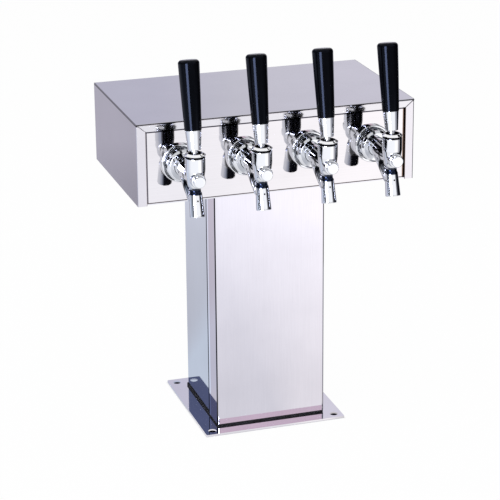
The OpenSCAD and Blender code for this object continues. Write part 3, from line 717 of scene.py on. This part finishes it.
@dataclass
class Tap:
    """One tap. f runs forwards from the head's front frame and z up from the shank, in mm."""

    number: int
    finishes: Finishes
    flange_r: float = 25.0
    flange_back_f: float = -3.9
    flange_f: float = 1.6
    flange_dip: float = 0.5
    flange_ring: Point = (1.2, 0.4)
    shank_r: float = 11.1
    nut_r: float = 21.0
    nut_back_f: float = 2.4
    nut_f: float = 16.1
    nut_chamfer: float = 2.6
    nut_bore_r: float = 12.7
    nut_inside_r: float = 14.3
    nut_lip_f: float = 11.7
    nut_holes: int = 12
    nut_hole_r: float = 3.0
    nut_hole_deep: float = 3.4
    nut_steps: int = 144
    nut_hole_steps: int = 40
    reach: float = 66.4
    barrel_r: float = 12.75
    barrel_bore_r: float = 11.1
    barrel_low: float = 11.0
    barrel_top: float = 27.6
    barrel_seat: float = 14.8
    thread_gap: float = 0.1
    bulb_z: float = -5.0
    bulb_r: float = 10.6
    body_f: float = 8.1
    body_rim_r: float = 13.8
    neck_f: float = 11.6
    neck_r: float = 12.5
    neck_end_r: float = 10.0
    horn_f: float = 28.6
    horn_end: Point = (61.6, -27.0)
    horn_r: float = 12.2
    horn_end_r: float = 9.4
    boss_r: float = 9.2
    boss_f: float = 82.0
    guide_r: float = 6.06
    guide_f: float = 38.5
    mouth_r: float = 9.0
    seat_f: float = 14.1
    seat_end_f: float = 17.1
    seat_r: float = 6.5
    chamber_r: float = 8.2
    passage_r: float = 7.9
    passage_back: float = 1.9
    cap_r: float = 7.6
    cap_f: float = 87.5
    cap_dome: float = 0.12
    cap_flat_r: float = 4.4
    cap_hollow: float = 2.4
    spout_root: Point = (61.9, -7.36)
    spout_top: Point = (64.8, -19.0)
    spout_out: Point = (72.4, -49.5)
    spout_neck_r: float = 7.4
    spout_top_r: float = 8.4
    spout_out_r: float = 9.75
    spout_bore_r: float = 6.6
    spout_lip: float = 0.8
    vent_z: float = -27.5
    vent_r: float = 1.1
    vent_l: float = 22.0
    collar_r: float = 13.2
    collar_foot: float = 20.0
    collar_low: float = 29.7
    collar_top: float = 32.4
    collar_rim: float = 2.2
    collar_mouth_r: float = 9.2
    collar_lip: float = 0.7
    throat_r: float = 7.2
    throat_z: float = 28.5
    socket_z: float = 26.9
    socket_lip: float = 0.9
    running_gap: float = 0.06
    ball_rise: float = 23.0
    ball_r: float = 9.0
    lean_deg: float = 10.0
    tip_r: float = 3.0
    stem_r: float = 2.6
    lever_neck_r: float = 4.5
    stud_r: float = 4.7
    stud_l: float = 32.0
    lever_neck_z: float = 11.0
    lever_steps: int = 64
    ferrule_rise: float = 12.8
    ferrule_l: float = 24.6
    ferrule_foot_r: float = 8.3
    ferrule_top_r: float = 10.2
    stud_hole_r: float = 4.8
    handle_l: float = 87.0
    handle_round: float = 4.5
    handle_foot_r: float = 10.75
    handle_top_r: float = 13.5
    handle_dome: float = 0.4
    handle_steps: int = 128
    swell_at: float = 46.0
    swell_share: float = 0.6
    swell_round: float = 260.0
    swell_step_deg: float = 2.0
    origin: Vector = field(init=False)

    def __post_init__(self) -> None:
        """Takes the tap's place from its packed coupling nut."""
        low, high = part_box(f"coupling_nut_{self.number}")
        front_y = high.y + self.nut_back_f * MM
        self.origin = Vector(((low.x + high.x) / 2, front_y, (low.z + high.z) / 2))

    def forward(self, f: float = 0.0, z: float = 0.0) -> Matrix:
        """Gives the frame whose local Z runs forwards along the shank, from f and z."""
        turn = Matrix(((1, 0, 0), (0, 0, -1), (0, 1, 0))).to_4x4()
        return Matrix.Translation(self.origin + Vector((0, -f, z)) * MM) @ turn

    def upright(self) -> Matrix:
        """Gives the frame of the barrel, whose local Z runs up from the shank's height."""
        return Matrix.Translation(self.origin + Vector((0, -self.reach, 0)) * MM)

    def lever(self) -> Matrix:
        """Gives the frame of the closed lever, from its ball's centre along the handle."""
        rise = Matrix.Translation((0, 0, self.ball_rise * MM))
        return self.upright() @ rise @ Matrix.Rotation(math.radians(-self.lean_deg), 4, "X")

    def along(self, start: Point, end: Point) -> Matrix:
        """Gives the frame whose local Z runs from one point of the middle plane to another."""
        step = Vector((0, -(end[0] - start[0]), end[1] - start[1]))
        turn = Vector((0, 0, 1)).rotation_difference(step).to_matrix().to_4x4()
        return Matrix.Translation(self.origin + Vector((0, -start[0], start[1])) * MM) @ turn

    def flange(self, bm: BMesh) -> None:
        """Adds the round flange against the front panel."""
        dip_f = self.flange_f - self.flange_dip
        lathe(bm, [
            (self.shank_r, self.flange_back_f), (self.flange_r, self.flange_back_f),
            (self.flange_r, self.flange_f, 1.3),
            (self.nut_r + self.flange_ring[0], self.flange_f, 0.6),
            (self.nut_r + self.flange_ring[1], dip_f, 0.6), (self.shank_r, dip_f),
            (self.shank_r, self.flange_back_f)], self.forward())

    def cap(self, bm: BMesh) -> None:
        """Adds the button that closes the valve's guide."""
        inside_r, inside_f = self.guide_r + 0.5, self.boss_f + self.cap_hollow
        lathe(bm, [
            (0, inside_f), (inside_r, inside_f), (inside_r, self.boss_f),
            (self.cap_r, self.boss_f, 0.3), (self.cap_r, self.cap_f - self.cap_dome, 1.3),
            (self.cap_flat_r, self.cap_f, 3.0), (0, self.cap_f)], self.forward())

    def collar(self, bm: BMesh) -> None:
        """Adds the collar on the barrel: a rim, a sloping shoulder and a bell mouth."""
        low, top, mouth = self.collar_low, self.collar_top, self.collar_mouth_r
        foot, skirt_r = self.collar_foot, self.barrel_bore_r - self.thread_gap
        hole = self.ball_r + self.running_gap
        lathe(bm, [
            (hole, foot), (skirt_r, foot), (skirt_r, low, 0.3), (self.collar_r, low, 0.4),
            (self.collar_r, top - self.collar_rim, 0.8), (mouth + self.collar_lip, top, 0.5),
            (mouth, top, 0.3), (self.throat_r, self.throat_z, 0.4),
            (hole - self.socket_lip, self.socket_z), (hole, self.ball_rise), (hole, foot)],
            self.upright())

    def nut(self) -> Object:
        """Makes the coupling nut, with its ring of blind spanner holes.

        Returns:
            The nut's object.
        """
        bm, cutter = bmesh.new(), bmesh.new()
        lathe(bm, [
            (self.nut_bore_r, self.nut_lip_f), (self.nut_inside_r, self.nut_lip_f),
            (self.nut_inside_r, self.nut_back_f), (self.nut_r, self.nut_back_f, 0.8),
            (self.nut_r, self.nut_f - self.nut_chamfer, 0.7),
            (self.nut_r - self.nut_chamfer, self.nut_f, 0.8), (self.nut_bore_r, self.nut_f, 0.5),
            (self.nut_bore_r, self.nut_lip_f)], self.forward(), self.nut_steps)
        nut = as_piece(f"drilled_nut_{self.number}", bm, self.finishes.chrome)
        middle = (self.nut_back_f + self.nut_f - self.nut_chamfer) / 2
        at = Matrix.Translation(self.origin + Vector((0, -middle * MM, 0)))
        out = Matrix.Translation((0, 0, (self.nut_r - self.nut_hole_deep) * MM))
        drill_l = self.nut_hole_deep + 2
        for k in range(self.nut_holes):
            turn = Matrix.Rotation(math.tau * k / self.nut_holes, 4, "Y")
            lathe(cutter, [(0, 0), (self.nut_hole_r, 0), (self.nut_hole_r, drill_l),
                           (0, drill_l)], at @ turn @ out, self.nut_hole_steps)
        carved(nut, cutter)
        # The spanner holes' walls and floors take the black as painted shade in the holes
        nut.data.materials.append(self.finishes.nylon_and_hole_shade.build())
        for face in nut.data.polygons:
            off = (face.center - self.origin).xz.length / MM
            drilled = abs((self.origin - face.center).y / MM - middle) < self.nut_hole_r
            face.material_index = int(drilled and self.nut_inside_r + 0.5 < off < self.nut_r - 0.4)
        return weighted(nut)

    def ferrule(self) -> Object:
        """Makes the tapered chrome ferrule under the handle.

        Returns:
            The ferrule's object.
        """
        bm = bmesh.new()
        low, top, hole = self.ferrule_rise, self.ferrule_rise + self.ferrule_l, self.stud_hole_r
        lathe(bm, [(hole, low), (self.ferrule_foot_r, low, 0.6), (self.ferrule_top_r, top, 0.4),
                   (hole, top), (hole, low)], self.lever())
        return weighted(as_piece(f"ferrule_sleeve_{self.number}", bm, self.finishes.chrome))

    def handle(self) -> Object:
        """Makes the black handle: a slow swell, a round shoulder and a slightly domed top.

        Returns:
            The handle's object.
        """
        bm = bmesh.new()
        low = self.ferrule_rise + self.ferrule_l
        top = low + self.handle_l
        foot, head = self.handle_foot_r, self.handle_top_r
        swell_r = foot + self.swell_share * (head - foot)
        lathe(bm, [(self.stud_hole_r, low), (foot, low, 0.6),
                   (swell_r, low + self.swell_at, self.swell_round),
                   (head, top - self.handle_dome, self.handle_round), (0, top)],
              self.lever(), self.handle_steps, self.swell_step_deg)
        bmesh.ops.holes_fill(bm, edges=list(bm.edges), sides=0)
        return weighted(as_piece(f"phenolic_grip_{self.number}", bm, self.finishes.phenolic))

    def lever_rod(self) -> Object:
        """Makes the lever: tip, stem, ball, neck and stud.

        Returns:
            The lever's object.
        """
        bm = bmesh.new()
        ball, top = self.ball_r, self.ferrule_rise + self.stud_l
        lathe(bm, [*arc(self.tip_r, -self.ball_rise, range(0, 121, 12)),
                   (self.stem_r, -ball + 0.4), *arc(ball, 0.0, range(17, 151, 7)),
                   (self.lever_neck_r, ball - 0.6), (self.lever_neck_r, self.lever_neck_z),
                   (self.stud_r, self.ferrule_rise), (self.stud_r, top - 1.0),
                   (self.stud_r - 1, top), (0, top)], self.lever(), self.lever_steps)
        piece = as_piece(f"ball_lever_{self.number}", bm, self.finishes.turned)
        piece.data.materials.append(self.finishes.nylon_and_hole_shade.build())
        centre = self.lever().translation
        for face in piece.data.polygons:
            face.material_index = int((face.center - centre).length < (ball + 0.1) * MM)
        return weighted(piece)


@dataclass
class CastBody:
    """The chromed faucet casting, blended where its forms meet."""

    voxel_mm: float = 0.55
    quick_voxel_mm: float = 0.9
    smooth_passes: int = 9
    smooth_share: float = 0.5
    form_steps: int = 72
    bore_steps: int = 64
    vent_steps: int = 24
    sharp_deg: float = 50.0

    def blank(self, tap: Tap) -> Object:
        """Joins the casting's plain forms.

        Args:
            tap: the tap whose sizes and place it takes.

        Returns:
            The joined object, still with its forms crossing each other.
        """
        bm = bmesh.new()
        horn_start = (tap.horn_f, 0.0)
        horn_l = math.dist(horn_start, tap.horn_end)
        boss_l = tap.boss_f - tap.reach
        spout_l = math.dist(tap.spout_top, tap.spout_out)
        root_l = math.dist(tap.spout_top, tap.spout_root)
        for corners, place in (
                ([(0, tap.body_f), (tap.body_rim_r, tap.body_f), (tap.body_rim_r, tap.neck_f),
                  (tap.neck_r, tap.neck_f), (tap.neck_r, tap.horn_f), (tap.neck_end_r, tap.reach),
                  (0, tap.reach)], tap.forward()),
                ([(0, 0), (tap.horn_r, 0), *arc(tap.horn_end_r, horn_l, range(90, 181, 9))],
                 tap.along(horn_start, tap.horn_end)),
                ([*arc(tap.bulb_r, tap.bulb_z, range(0, 91, 9)),
                  (tap.barrel_r, tap.barrel_low, 8.0), (tap.barrel_r, tap.barrel_top),
                  (0, tap.barrel_top)], tap.upright()),
                ([(0, 0), (tap.boss_r, 0), (tap.boss_r, boss_l), (0, boss_l)],
                 tap.forward(tap.reach)),
                ([(0, -root_l), (tap.spout_neck_r, -root_l), (tap.spout_neck_r, 0),
                  (tap.spout_top_r, 1.2), (tap.spout_out_r, spout_l), (0, spout_l)],
                 tap.along(tap.spout_top, tap.spout_out))):
            lathe(bm, corners, place, self.form_steps)
        return as_piece("cast_body", bm, tap.finishes.chrome)

    def bore(self, body: Object, tap: Tap) -> None:
        """Drills the casting.

        Args:
            body: the blended casting.
            tap: the tap whose sizes and place it takes.
        """
        spout_l, bore_r = math.dist(tap.spout_top, tap.spout_out), tap.spout_bore_r
        tip_way = tap.forward(tap.reach - tap.passage_back)
        for corners, place, steps in (
                # The spout's bore, with a small chamfer at its lip
                ([(0, -6), (bore_r, -6), (bore_r, spout_l - tap.spout_lip),
                  (bore_r + tap.spout_lip, spout_l + 0.01), (0, spout_l + 3)],
                 tap.along(tap.spout_top, tap.spout_out), self.bore_steps),
                # The barrel's bore, down to the ball's seat
                ([(0, tap.barrel_seat), (tap.barrel_bore_r, tap.barrel_seat),
                  (tap.barrel_bore_r, tap.barrel_top + 2), (0, tap.barrel_top + 2)],
                 tap.upright(), self.bore_steps),
                # The way of the beer and the shaft: mouth, seat, chamber and guide
                ([(0, tap.body_f - 1), (tap.mouth_r, tap.body_f - 1), (tap.mouth_r, tap.seat_f),
                  (tap.seat_r, tap.seat_f), (tap.seat_r, tap.seat_end_f),
                  (tap.chamber_r, tap.seat_end_f), (tap.chamber_r, tap.guide_f),
                  (tap.guide_r, tap.guide_f), (tap.guide_r, tap.boss_f + 2),
                  (0, tap.boss_f + 2)], tap.forward(), self.bore_steps),
                # The way of the lever's tip, from the barrel's bore down to the shaft
                ([(0, 0), (tap.passage_r, 0), (tap.passage_r, tap.barrel_seat + 0.5),
                  (0, tap.barrel_seat + 0.5)],
                 tip_way @ Matrix.Rotation(-math.pi / 2, 4, "X"), self.bore_steps),
                # The vent hole through the spout's front wall
                ([(0, tap.reach), (tap.vent_r, tap.reach), (tap.vent_r, tap.reach + tap.vent_l),
                  (0, tap.reach + tap.vent_l)], tap.forward(0, tap.vent_z), self.vent_steps)):
            cutter = bmesh.new()
            lathe(cutter, corners, place, steps)
            carved(body, cutter)

    def build(self, taps: Sequence[Tap]) -> list[Object]:
        """Makes the casting once and copies it to each tap.

        Args:
            taps: the taps, in order.

        Returns:
            A casting for each tap.
        """
        first = taps[0]
        body = self.blank(first)
        remesh = body.modifiers.new("skin", "REMESH")
        remesh.mode = "VOXEL"
        remesh.voxel_size = self.voxel_mm * MM
        smooth = body.modifiers.new("blend", "SMOOTH")
        smooth.factor = self.smooth_share
        smooth.iterations = self.smooth_passes
        applied(body)
        self.bore(body, first)
        made = []
        for tap in taps:
            mesh = body.data.copy()
            mesh.transform(Matrix.Translation(tap.origin - first.origin))
            made.append(shown(f"cast_body_{tap.number}", mesh))
            for face in mesh.polygons:
                face.use_smooth = True
            mesh.set_sharp_from_angle(angle=math.radians(self.sharp_deg))
        bpy.data.objects.remove(body)
        return made


@dataclass
class TapRow:
    """The four taps of the tower."""

    finishes: Finishes

    def build(self) -> None:
        """Makes every tap's pieces and ties them to their bodies."""
        taps = [Tap(n, self.finishes) for n in TAPS]
        for name, node, shape in (("flange_discs", "shank_flanges", Tap.flange),
                                  ("cap_buttons", "front_caps", Tap.cap),
                                  ("collar_rings", "collars", Tap.collar)):
            bm = bmesh.new()
            for tap in taps:
                shape(tap, bm)
            settle(weighted(as_piece(name, bm, self.finishes.chrome)), "tower", "chrome", node)
        for tap, body in zip(taps, CastBody().build(taps)):
            n = tap.number
            settle(body, "tower", "chrome", f"faucet_body_{n}")
            settle(tap.nut(), "tower", "chrome", f"coupling_nut_{n}")
            settle(tap.ferrule(), f"tap_lever_{n}", "chrome", f"ferrule_{n}")
            settle(tap.handle(), f"tap_lever_{n}", "black_gloss_plastic", f"handle_{n}")
            settle(tap.lever_rod(), f"tap_lever_{n}", "stainless_turned", f"lever_{n}")


@dataclass
class Housing:
    """The head, the column and the base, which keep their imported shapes."""

    finishes: Finishes

    def finish_of(self) -> dict[str, Finish]:
        """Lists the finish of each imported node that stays."""
        made = self.finishes
        table = {
            "base_plate": made.sheet_plate, "base_gasket": made.rubber,
            "base_socket": made.sheet_across, "base_screws": made.turned,
            "column_shell": made.sheet_upright, "column_front_cover": made.sheet_lapped,
            "column_foam": made.foam, "neck_socket": made.sheet_across,
            "neck_screws": made.turned, "head_bottom_panel": made.sheet_across,
            "head_left_end": made.sheet_deep, "head_right_end": made.sheet_deep,
            "head_top_cover": made.sheet_top, "head_front_panel": made.mirror,
            "head_back_panel": made.sheet_across, "head_back_screws": made.turned,
            "head_foam": made.foam, "glycol_loop": made.copper, "shanks": made.turned,
            "lock_nuts": made.brass, "tailpieces": made.turned, "tail_nuts": made.brass,
            "coupling_washers": made.rubber, "ball_seats": made.acetal}
        for n in TAPS:
            table |= {f"beer_line_{n}": made.tube, f"valve_shaft_{n}": made.turned,
                      f"seat_washer_{n}": made.rubber}
        return table

    def build(self) -> None:
        """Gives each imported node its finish."""
        for name, finish in self.finish_of().items():
            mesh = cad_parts[name].data
            mesh.materials.clear()
            mesh.materials.append(finish.build())
            log.info("%s: %s", name, finish.name)


@dataclass
class LapShadeStrips:
    """Painted shade where the column's front cover laps over its sides, as dead black strips, in
    mm.
    """

    finishes: Finishes
    cover_x: float = 76.2
    shell_x: float = 74.6
    lap_y: float = -35.4
    on_cover: float = 2.2
    on_shell: float = 4.0
    proud: float = 0.08
    thick: float = 0.4
    shorter: float = 1.0
    edge: float = 0.06

    def shade_strip(self, bm: BMesh, side: int, surface_x: float, start: float, end: float) -> None:
        """Adds one flat strip of painted shade over the column's height.

        Args:
            bm: the bmesh that gets it.
            side: -1 for the left side of the column, 1 for the right.
            surface_x: how far out the sheet's surface is.
            start: the y of its front edge.
            end: the y of its back edge.
        """
        low, high = (corner.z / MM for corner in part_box("column_front_cover"))
        size = Vector((self.thick, end - start, high - low - self.shorter)) * MM
        middle = Vector((side * (surface_x + self.proud - self.thick / 2), (start + end) / 2,
                         (low + high) / 2)) * MM
        bmesh.ops.create_cube(bm, size=1.0,
                              matrix=Matrix.Translation(middle) @ Matrix.Diagonal((*size, 1.0)))

    def build(self) -> None:
        """Makes the painted shade strips on both sides as one piece."""
        bm = bmesh.new()
        for side in (-1, 1):
            self.shade_strip(bm, side, self.cover_x, self.lap_y - self.on_cover, self.lap_y)
            self.shade_strip(bm, side, self.shell_x, self.lap_y, self.lap_y + self.on_shell)
        bmesh.ops.bevel(bm, geom=list(bm.edges), offset=self.edge * MM, offset_type="OFFSET",
                        segments=2, profile=0.5, affect="EDGES", material=-1)
        settle(as_piece("painted_lap_shade_strips", bm, self.finishes.painted_lap_shade), "tower", "black_rubber")


@dataclass(frozen=True)
class Softbox:
    """A rectangular studio light, unseen in metal: its size and place in metres, its power."""

    name: str
    size: Point
    place: Triple
    aim: Triple
    watts: float
    colour: str = "#FFFFFF"

    def build(self) -> None:
        """Hangs the light and turns it to its aim."""
        data = bpy.data.lights.new(self.name, "AREA")
        data.shape = "RECTANGLE"
        data.size, data.size_y = self.size
        data.energy = self.watts
        data.color = linear(self.colour)[:3]
        lamp = shown(self.name, data)
        lamp.location = self.place
        towards = Vector(self.aim) - Vector(self.place)
        lamp.rotation_euler = towards.to_track_quat("-Z", "Y").to_euler()
        lamp.visible_camera = False
        lamp.visible_glossy = False


@dataclass(frozen=True)
class Fade:
    """How a backdrop's radiance grows to its whole: from a share, between two places, in m."""

    share: float = 1.0
    start: float = 0.0
    end: float = 1.0
    upwards: bool = False


def painted(name: str, bm: BMesh, tones: Tones, strength: float, fade: Fade) -> None:
    """Adds a backdrop that only reflections show, with its own radiance.

    Args:
        name: the backdrop's name.
        bm: its shape, which is freed.
        tones: the colour in each direction round the studio, in degrees from +X towards +Y.
        strength: the radiance of white.
        fade: where and how far it is dimmer.
    """
    backdrop = placed(name, bm)
    paint = bpy.data.materials.new(f"{name}_paint")
    tree = emptied(paint)
    place = add(tree, "TexCoord").node.outputs["Object"]
    turn = add(tree, "TexGradient", {"Vector": place}, gradient_type="RADIAL").node.outputs["Fac"]
    ramp = add(tree, "ValToRGB", {"Fac": turn})
    stops = ramp.node.color_ramp.elements
    for number, (angle, colour) in enumerate(tones):
        at = angle / 360 + 0.5
        stop = stops[number] if number < 2 else stops.new(at)
        stop.position, stop.color = at, linear(colour)
    if fade.upwards:
        reach = add(tree, "SeparateXYZ", {"Vector": place}).node.outputs["Z"]
    else:
        reach = add(tree, "VectorMath", {0: place}, operation="LENGTH")
    level = add(tree, "MapRange", {"Value": reach, "From Min": fade.start, "From Max": fade.end,
                                   "To Min": strength * fade.share, "To Max": strength})
    glow = add(tree, "Emission", {"Color": ramp, "Strength": level})
    add(tree, "OutputMaterial", {"Surface": glow})
    backdrop.data.materials.append(paint)
    backdrop.visible_camera = False
    backdrop.visible_shadow = False
    backdrop.visible_diffuse = False


@dataclass(frozen=True)
class Card:
    """A flat card: its size and place in metres, what it faces, and its colour."""

    name: str
    size: Point
    place: Triple
    aim: Triple
    colour: str
    strength: float = 1.0
    fade: Fade = Fade()

    def build(self) -> None:
        """Puts the card in its place."""
        bm = bmesh.new()
        towards = Vector(self.aim) - Vector(self.place)
        turn = towards.to_track_quat("-Z", "Y").to_matrix().to_4x4()
        bmesh.ops.create_grid(bm, x_segments=1, y_segments=1, size=0.5)
        bmesh.ops.scale(bm, vec=(*self.size, 1.0), verts=bm.verts)
        bmesh.ops.transform(bm, matrix=Matrix.Translation(self.place) @ turn, verts=bm.verts)
        painted(self.name, bm, ((-180, self.colour), (180, self.colour)), self.strength, self.fade)


@dataclass(frozen=True)
class Drapes:
    """Cloths round the studio, as metal sees them: a floor, a low ring and a high ring."""

    radius: float = 3.2
    skirt: float = 0.36
    middle: float = 1.3
    top: float = 2.3
    cloth_z: float = 0.001
    segments: int = 128
    white: float = 1.5
    ground_white: float = 1.8
    low: Tones = (
        (-180, "#9AA3B2"), (-160, "#D8DEE6"), (-148, "#FFFFFF"), (-56, "#FFFFFF"),
        (-40, "#A8A8B0"), (-30, "#5A5C68"), (36, "#5A5C68"), (46, "#CDCBD5"), (68, "#CDCBD5"),
        (73, "#C7C6CF"), (77, "#BCBBC9"), (92, "#B5B4C2"), (99, "#586080"), (110, "#4C5264"),
        (180, "#9AA3B2"))
    high: Tones = (
        (-180, "#20222C"), (-140, "#15151B"), (-96, "#101014"), (-66, "#15151B"),
        (-58, "#A8A8B2"), (-25, "#A8A8B2"), (-12, "#15151B"), (36, "#0B0B10"), (46, "#CDCBD5"),
        (68, "#CDCBD5"), (73, "#C7C6CF"), (77, "#BCBBC9"), (92, "#B5B4C2"), (99, "#586080"),
        (150, "#464D68"), (180, "#20222C"))
    # The floor cloth is darker from -38 to 104 degrees, behind the column and to its right: a
    # painted shadow of the head
    ground: Tones = (
        (-180, "#C2C6D0"), (-150, "#EBEBEC"), (-82, "#EDEDEE"), (-66, "#FFFDFB"),
        (-52, "#FFFDFB"), (-38, "#A9A5A5"), (-20, "#8A8C98"), (90, "#8A8C98"), (104, "#ACAEBA"),
        (112, "#ACAEBA"), (116, "#AFB2BF"), (122, "#BAC2D2"), (150, "#BCC4D5"), (180, "#C2C6D0"))
    # The low ring dims towards its foot: painted shade where it meets the floor
    foot: Fade = Fade(0.3, 0.78, 0.95, True)
    # The floor cloth dims near the tower: a painted shadow of the tower
    near: Fade = Fade(0.72, 0.2, 1.0)

    def build(self) -> None:
        """Hangs the rings and lays the cloth."""
        for name, low, high, tones, fade in (
                ("skirt_drapes", 0.0, self.skirt, self.low, Fade()),
                ("low_drapes", self.skirt, self.middle, self.low, self.foot),
                ("high_drapes", self.middle, self.top, self.high, Fade())):
            bm = bmesh.new()
            bmesh.ops.create_cone(bm, cap_ends=False, segments=self.segments,
                                  radius1=self.radius, radius2=self.radius, depth=high - low)
            bmesh.ops.translate(bm, vec=(0, 0, (low + high) / 2), verts=bm.verts)
            painted(name, bm, tones, self.white, fade)
        cloth = bmesh.new()
        bmesh.ops.create_circle(cloth, cap_ends=True, segments=self.segments, radius=self.radius)
        bmesh.ops.translate(cloth, vec=(0, 0, self.cloth_z), verts=cloth.verts)
        painted("floor_cloth", cloth, self.ground, self.ground_white, self.near)


@dataclass(frozen=True)
class Camera:
    """The camera solved from the photograph, in mm, radians and pixels of its frame."""

    place_mm: Triple = (-791.42, -2474.93, 1147.72)
    yaw: float = 0.30805
    pitch: float = 0.34210
    roll: float = -0.0086548
    focal_px: float = 2023.3
    frame_px: int = 500
    sensor_mm: float = 36.0
    far: float = 50.0

    def build(self) -> None:
        """Makes the scene's camera."""
        data = bpy.data.cameras.new("camera")
        data.sensor_width = self.sensor_mm
        data.lens = self.focal_px / self.frame_px * self.sensor_mm
        data.clip_end = self.far
        camera = shown("camera", data)
        forward = Vector((math.sin(self.yaw) * math.cos(self.pitch),
                          math.cos(self.yaw) * math.cos(self.pitch), -math.sin(self.pitch)))
        right = Vector((math.cos(self.yaw), -math.sin(self.yaw), 0.0))
        up = right.cross(forward)
        cos, sin = math.cos(self.roll), math.sin(self.roll)
        right, up = right * cos + up * sin, up * cos - right * sin
        turn = Matrix((right, up, -forward)).transposed().to_4x4()
        camera.matrix_world = Matrix.Translation(Vector(self.place_mm) * MM) @ turn
        bpy.context.scene.camera = camera


@dataclass
class Studio:
    """The pale floor, the soft lights and the white surround."""

    floor_half: float = 6.0
    floor_colours: tuple[str, str] = ("#F4F4F6", "#FFFFFF")
    floor_grain_mm: float = 1.2
    floor_glow: float = 0.98
    # Painted shadow on the floor under the base plate, seen through its holes
    painted_plate_shadow: str = "#0C0C12"
    plate_shadow: Point = (-0.004, 0.002)
    world_light: float = 0.3

    def looked_at(self, tree: NodeTree) -> NodeSocket:
        """Tells looks from light, so that metal and glass show the backdrop too.

        Args:
            tree: the node tree of the floor or the world.

        Returns:
            1 to the camera, a reflection or a view through glass, and 0 to other rays.
        """
        seen = add(tree, "LightPath").node.outputs
        mirrored = add(tree, "Math", {0: seen["Is Glossy Ray"], 1: seen["Is Transmission Ray"]},
                       operation="MAXIMUM")
        return add(tree, "Math", {0: seen["Is Camera Ray"], 1: mirrored}, operation="MAXIMUM")

    def floor(self) -> None:
        """Lays the floor, which looks white to the camera, keeps the tower's shadow and has a
        shadow painted under the base plate.
        """
        bm = bmesh.new()
        bmesh.ops.create_grid(bm, x_segments=1, y_segments=1, size=self.floor_half)
        floor = placed("floor", bm)
        paper = bpy.data.materials.new("paper_floor")
        tree = emptied(paper)
        place = add(tree, "TexCoord").node.outputs["Object"]
        grain = stretched(tree, place, [self.floor_grain_mm] * 3, 2.0)
        low, high = (linear(colour) for colour in self.floor_colours)
        shade = add(tree, "Mix", {0: grain, 6: low, 7: high}, data_type="RGBA")
        clear = self.clear_of_plate(tree, place)
        # Paints the shadow under the base plate into the floor's colour
        shadowed_floor = add(tree, "Mix", {0: clear, 6: linear(self.painted_plate_shadow), 7: shade},
                    data_type="RGBA")
        share = add(tree, "Math", {0: self.looked_at(tree), 1: clear}, operation="MULTIPLY")
        mixed = add(tree, "MixShader", {0: share, 1: add(tree, "BsdfDiffuse", {"Color": shadowed_floor}),
                                        2: add(tree, "Emission", {"Strength": 1.0})})
        add(tree, "OutputMaterial", {"Surface": mixed})
        floor.data.materials.append(paper)

    def clear_of_plate(self, tree: NodeTree, place: NodeSocket) -> NodeSocket:
        """Gives how much the floor glows: nothing under the base plate, where its shadow is
        painted.

        Args:
            tree: the floor's node tree.
            place: the point on the floor.

        Returns:
            The share of glow, from 0 to the floor's whole glow.
        """
        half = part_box("base_plate")[1].x
        part = add(tree, "SeparateXYZ", {"Vector": place}).node.outputs
        across = {number: add(tree, "Math", {0: part[axis]}, operation="ABSOLUTE")
                  for number, axis in enumerate("XY")}
        reach = add(tree, "Math", across, operation="MAXIMUM")
        return add(tree, "MapRange", {
            "Value": reach, "From Min": half + self.plate_shadow[0],
            "From Max": half + self.plate_shadow[1], "To Max": self.floor_glow})

    def surround(self) -> None:
        """Sets the world: white to the camera and to metal, and a dim light on matt surfaces."""
        world = bpy.data.worlds.new("room")
        bpy.context.scene.world = world
        tree = emptied(world)
        white = add(tree, "Background", {"Color": linear("#FFFFFF"), "Strength": 1.0})
        dim = add(tree, "Background", {"Color": linear("#F2F2FA"), "Strength": self.world_light})
        final = add(tree, "MixShader", {0: self.looked_at(tree), 1: dim, 2: white})
        add(tree, "OutputWorld", {"Surface": final})

    def build(self) -> None:
        """Sets up the floor, the surround, the lights, the cards and the camera."""
        self.floor()
        self.surround()
        centre = (0.0, 0.0, 0.3)
        for light in (
                Softbox("key_front_left", (1.4, 1.0), (-1.5, -1.9, 1.3), centre, 16.0, "#F6F7FF"),
                Softbox("top", (2.4, 2.4), (-0.2, -0.7, 2.6), (0, -0.4, 0), 34.0),
                Softbox("fill_behind", (1.6, 1.0), (-0.6, 1.9, 1.9), centre, 10.0)):
            light.build()
        Drapes().build()
        for card in (
                Card("window_front_left", (0.85, 1.2), (-1.42, -1.72, 0.7), (0, -0.16, 0.5),
                     "#E6EAFF", 25.0),
                Card("rosy_card", (0.7, 0.4), (0.94, -3.0, 1.4), (0, 0, 0), "#FFE8F0", 1.35),
                Card("grey_paper", (0.9, 1.2), (-0.87, 1.15, 0.003), (-0.87, 1.15, 1.0), "#D0CDDA",
                     1.0, Fade(0.7, 0.95, 1.4)),
                Card("flag_right", (0.44, 1.2), (0.66, -0.1, 0.6), (0, -0.1, 0.6), "#07070A")):
            card.build()
        Camera().build()
        bpy.context.scene.view_settings.view_transform = "Standard"


def main() -> None:
    """Builds the tower and its studio."""
    logging.basicConfig(level=logging.INFO, format="%(message)s")
    finishes = Finishes()
    Housing(finishes).build()
    LapShadeStrips(finishes).build()
    TapRow(finishes).build()
    Studio().build()


if __name__ == "__main__":
    main()
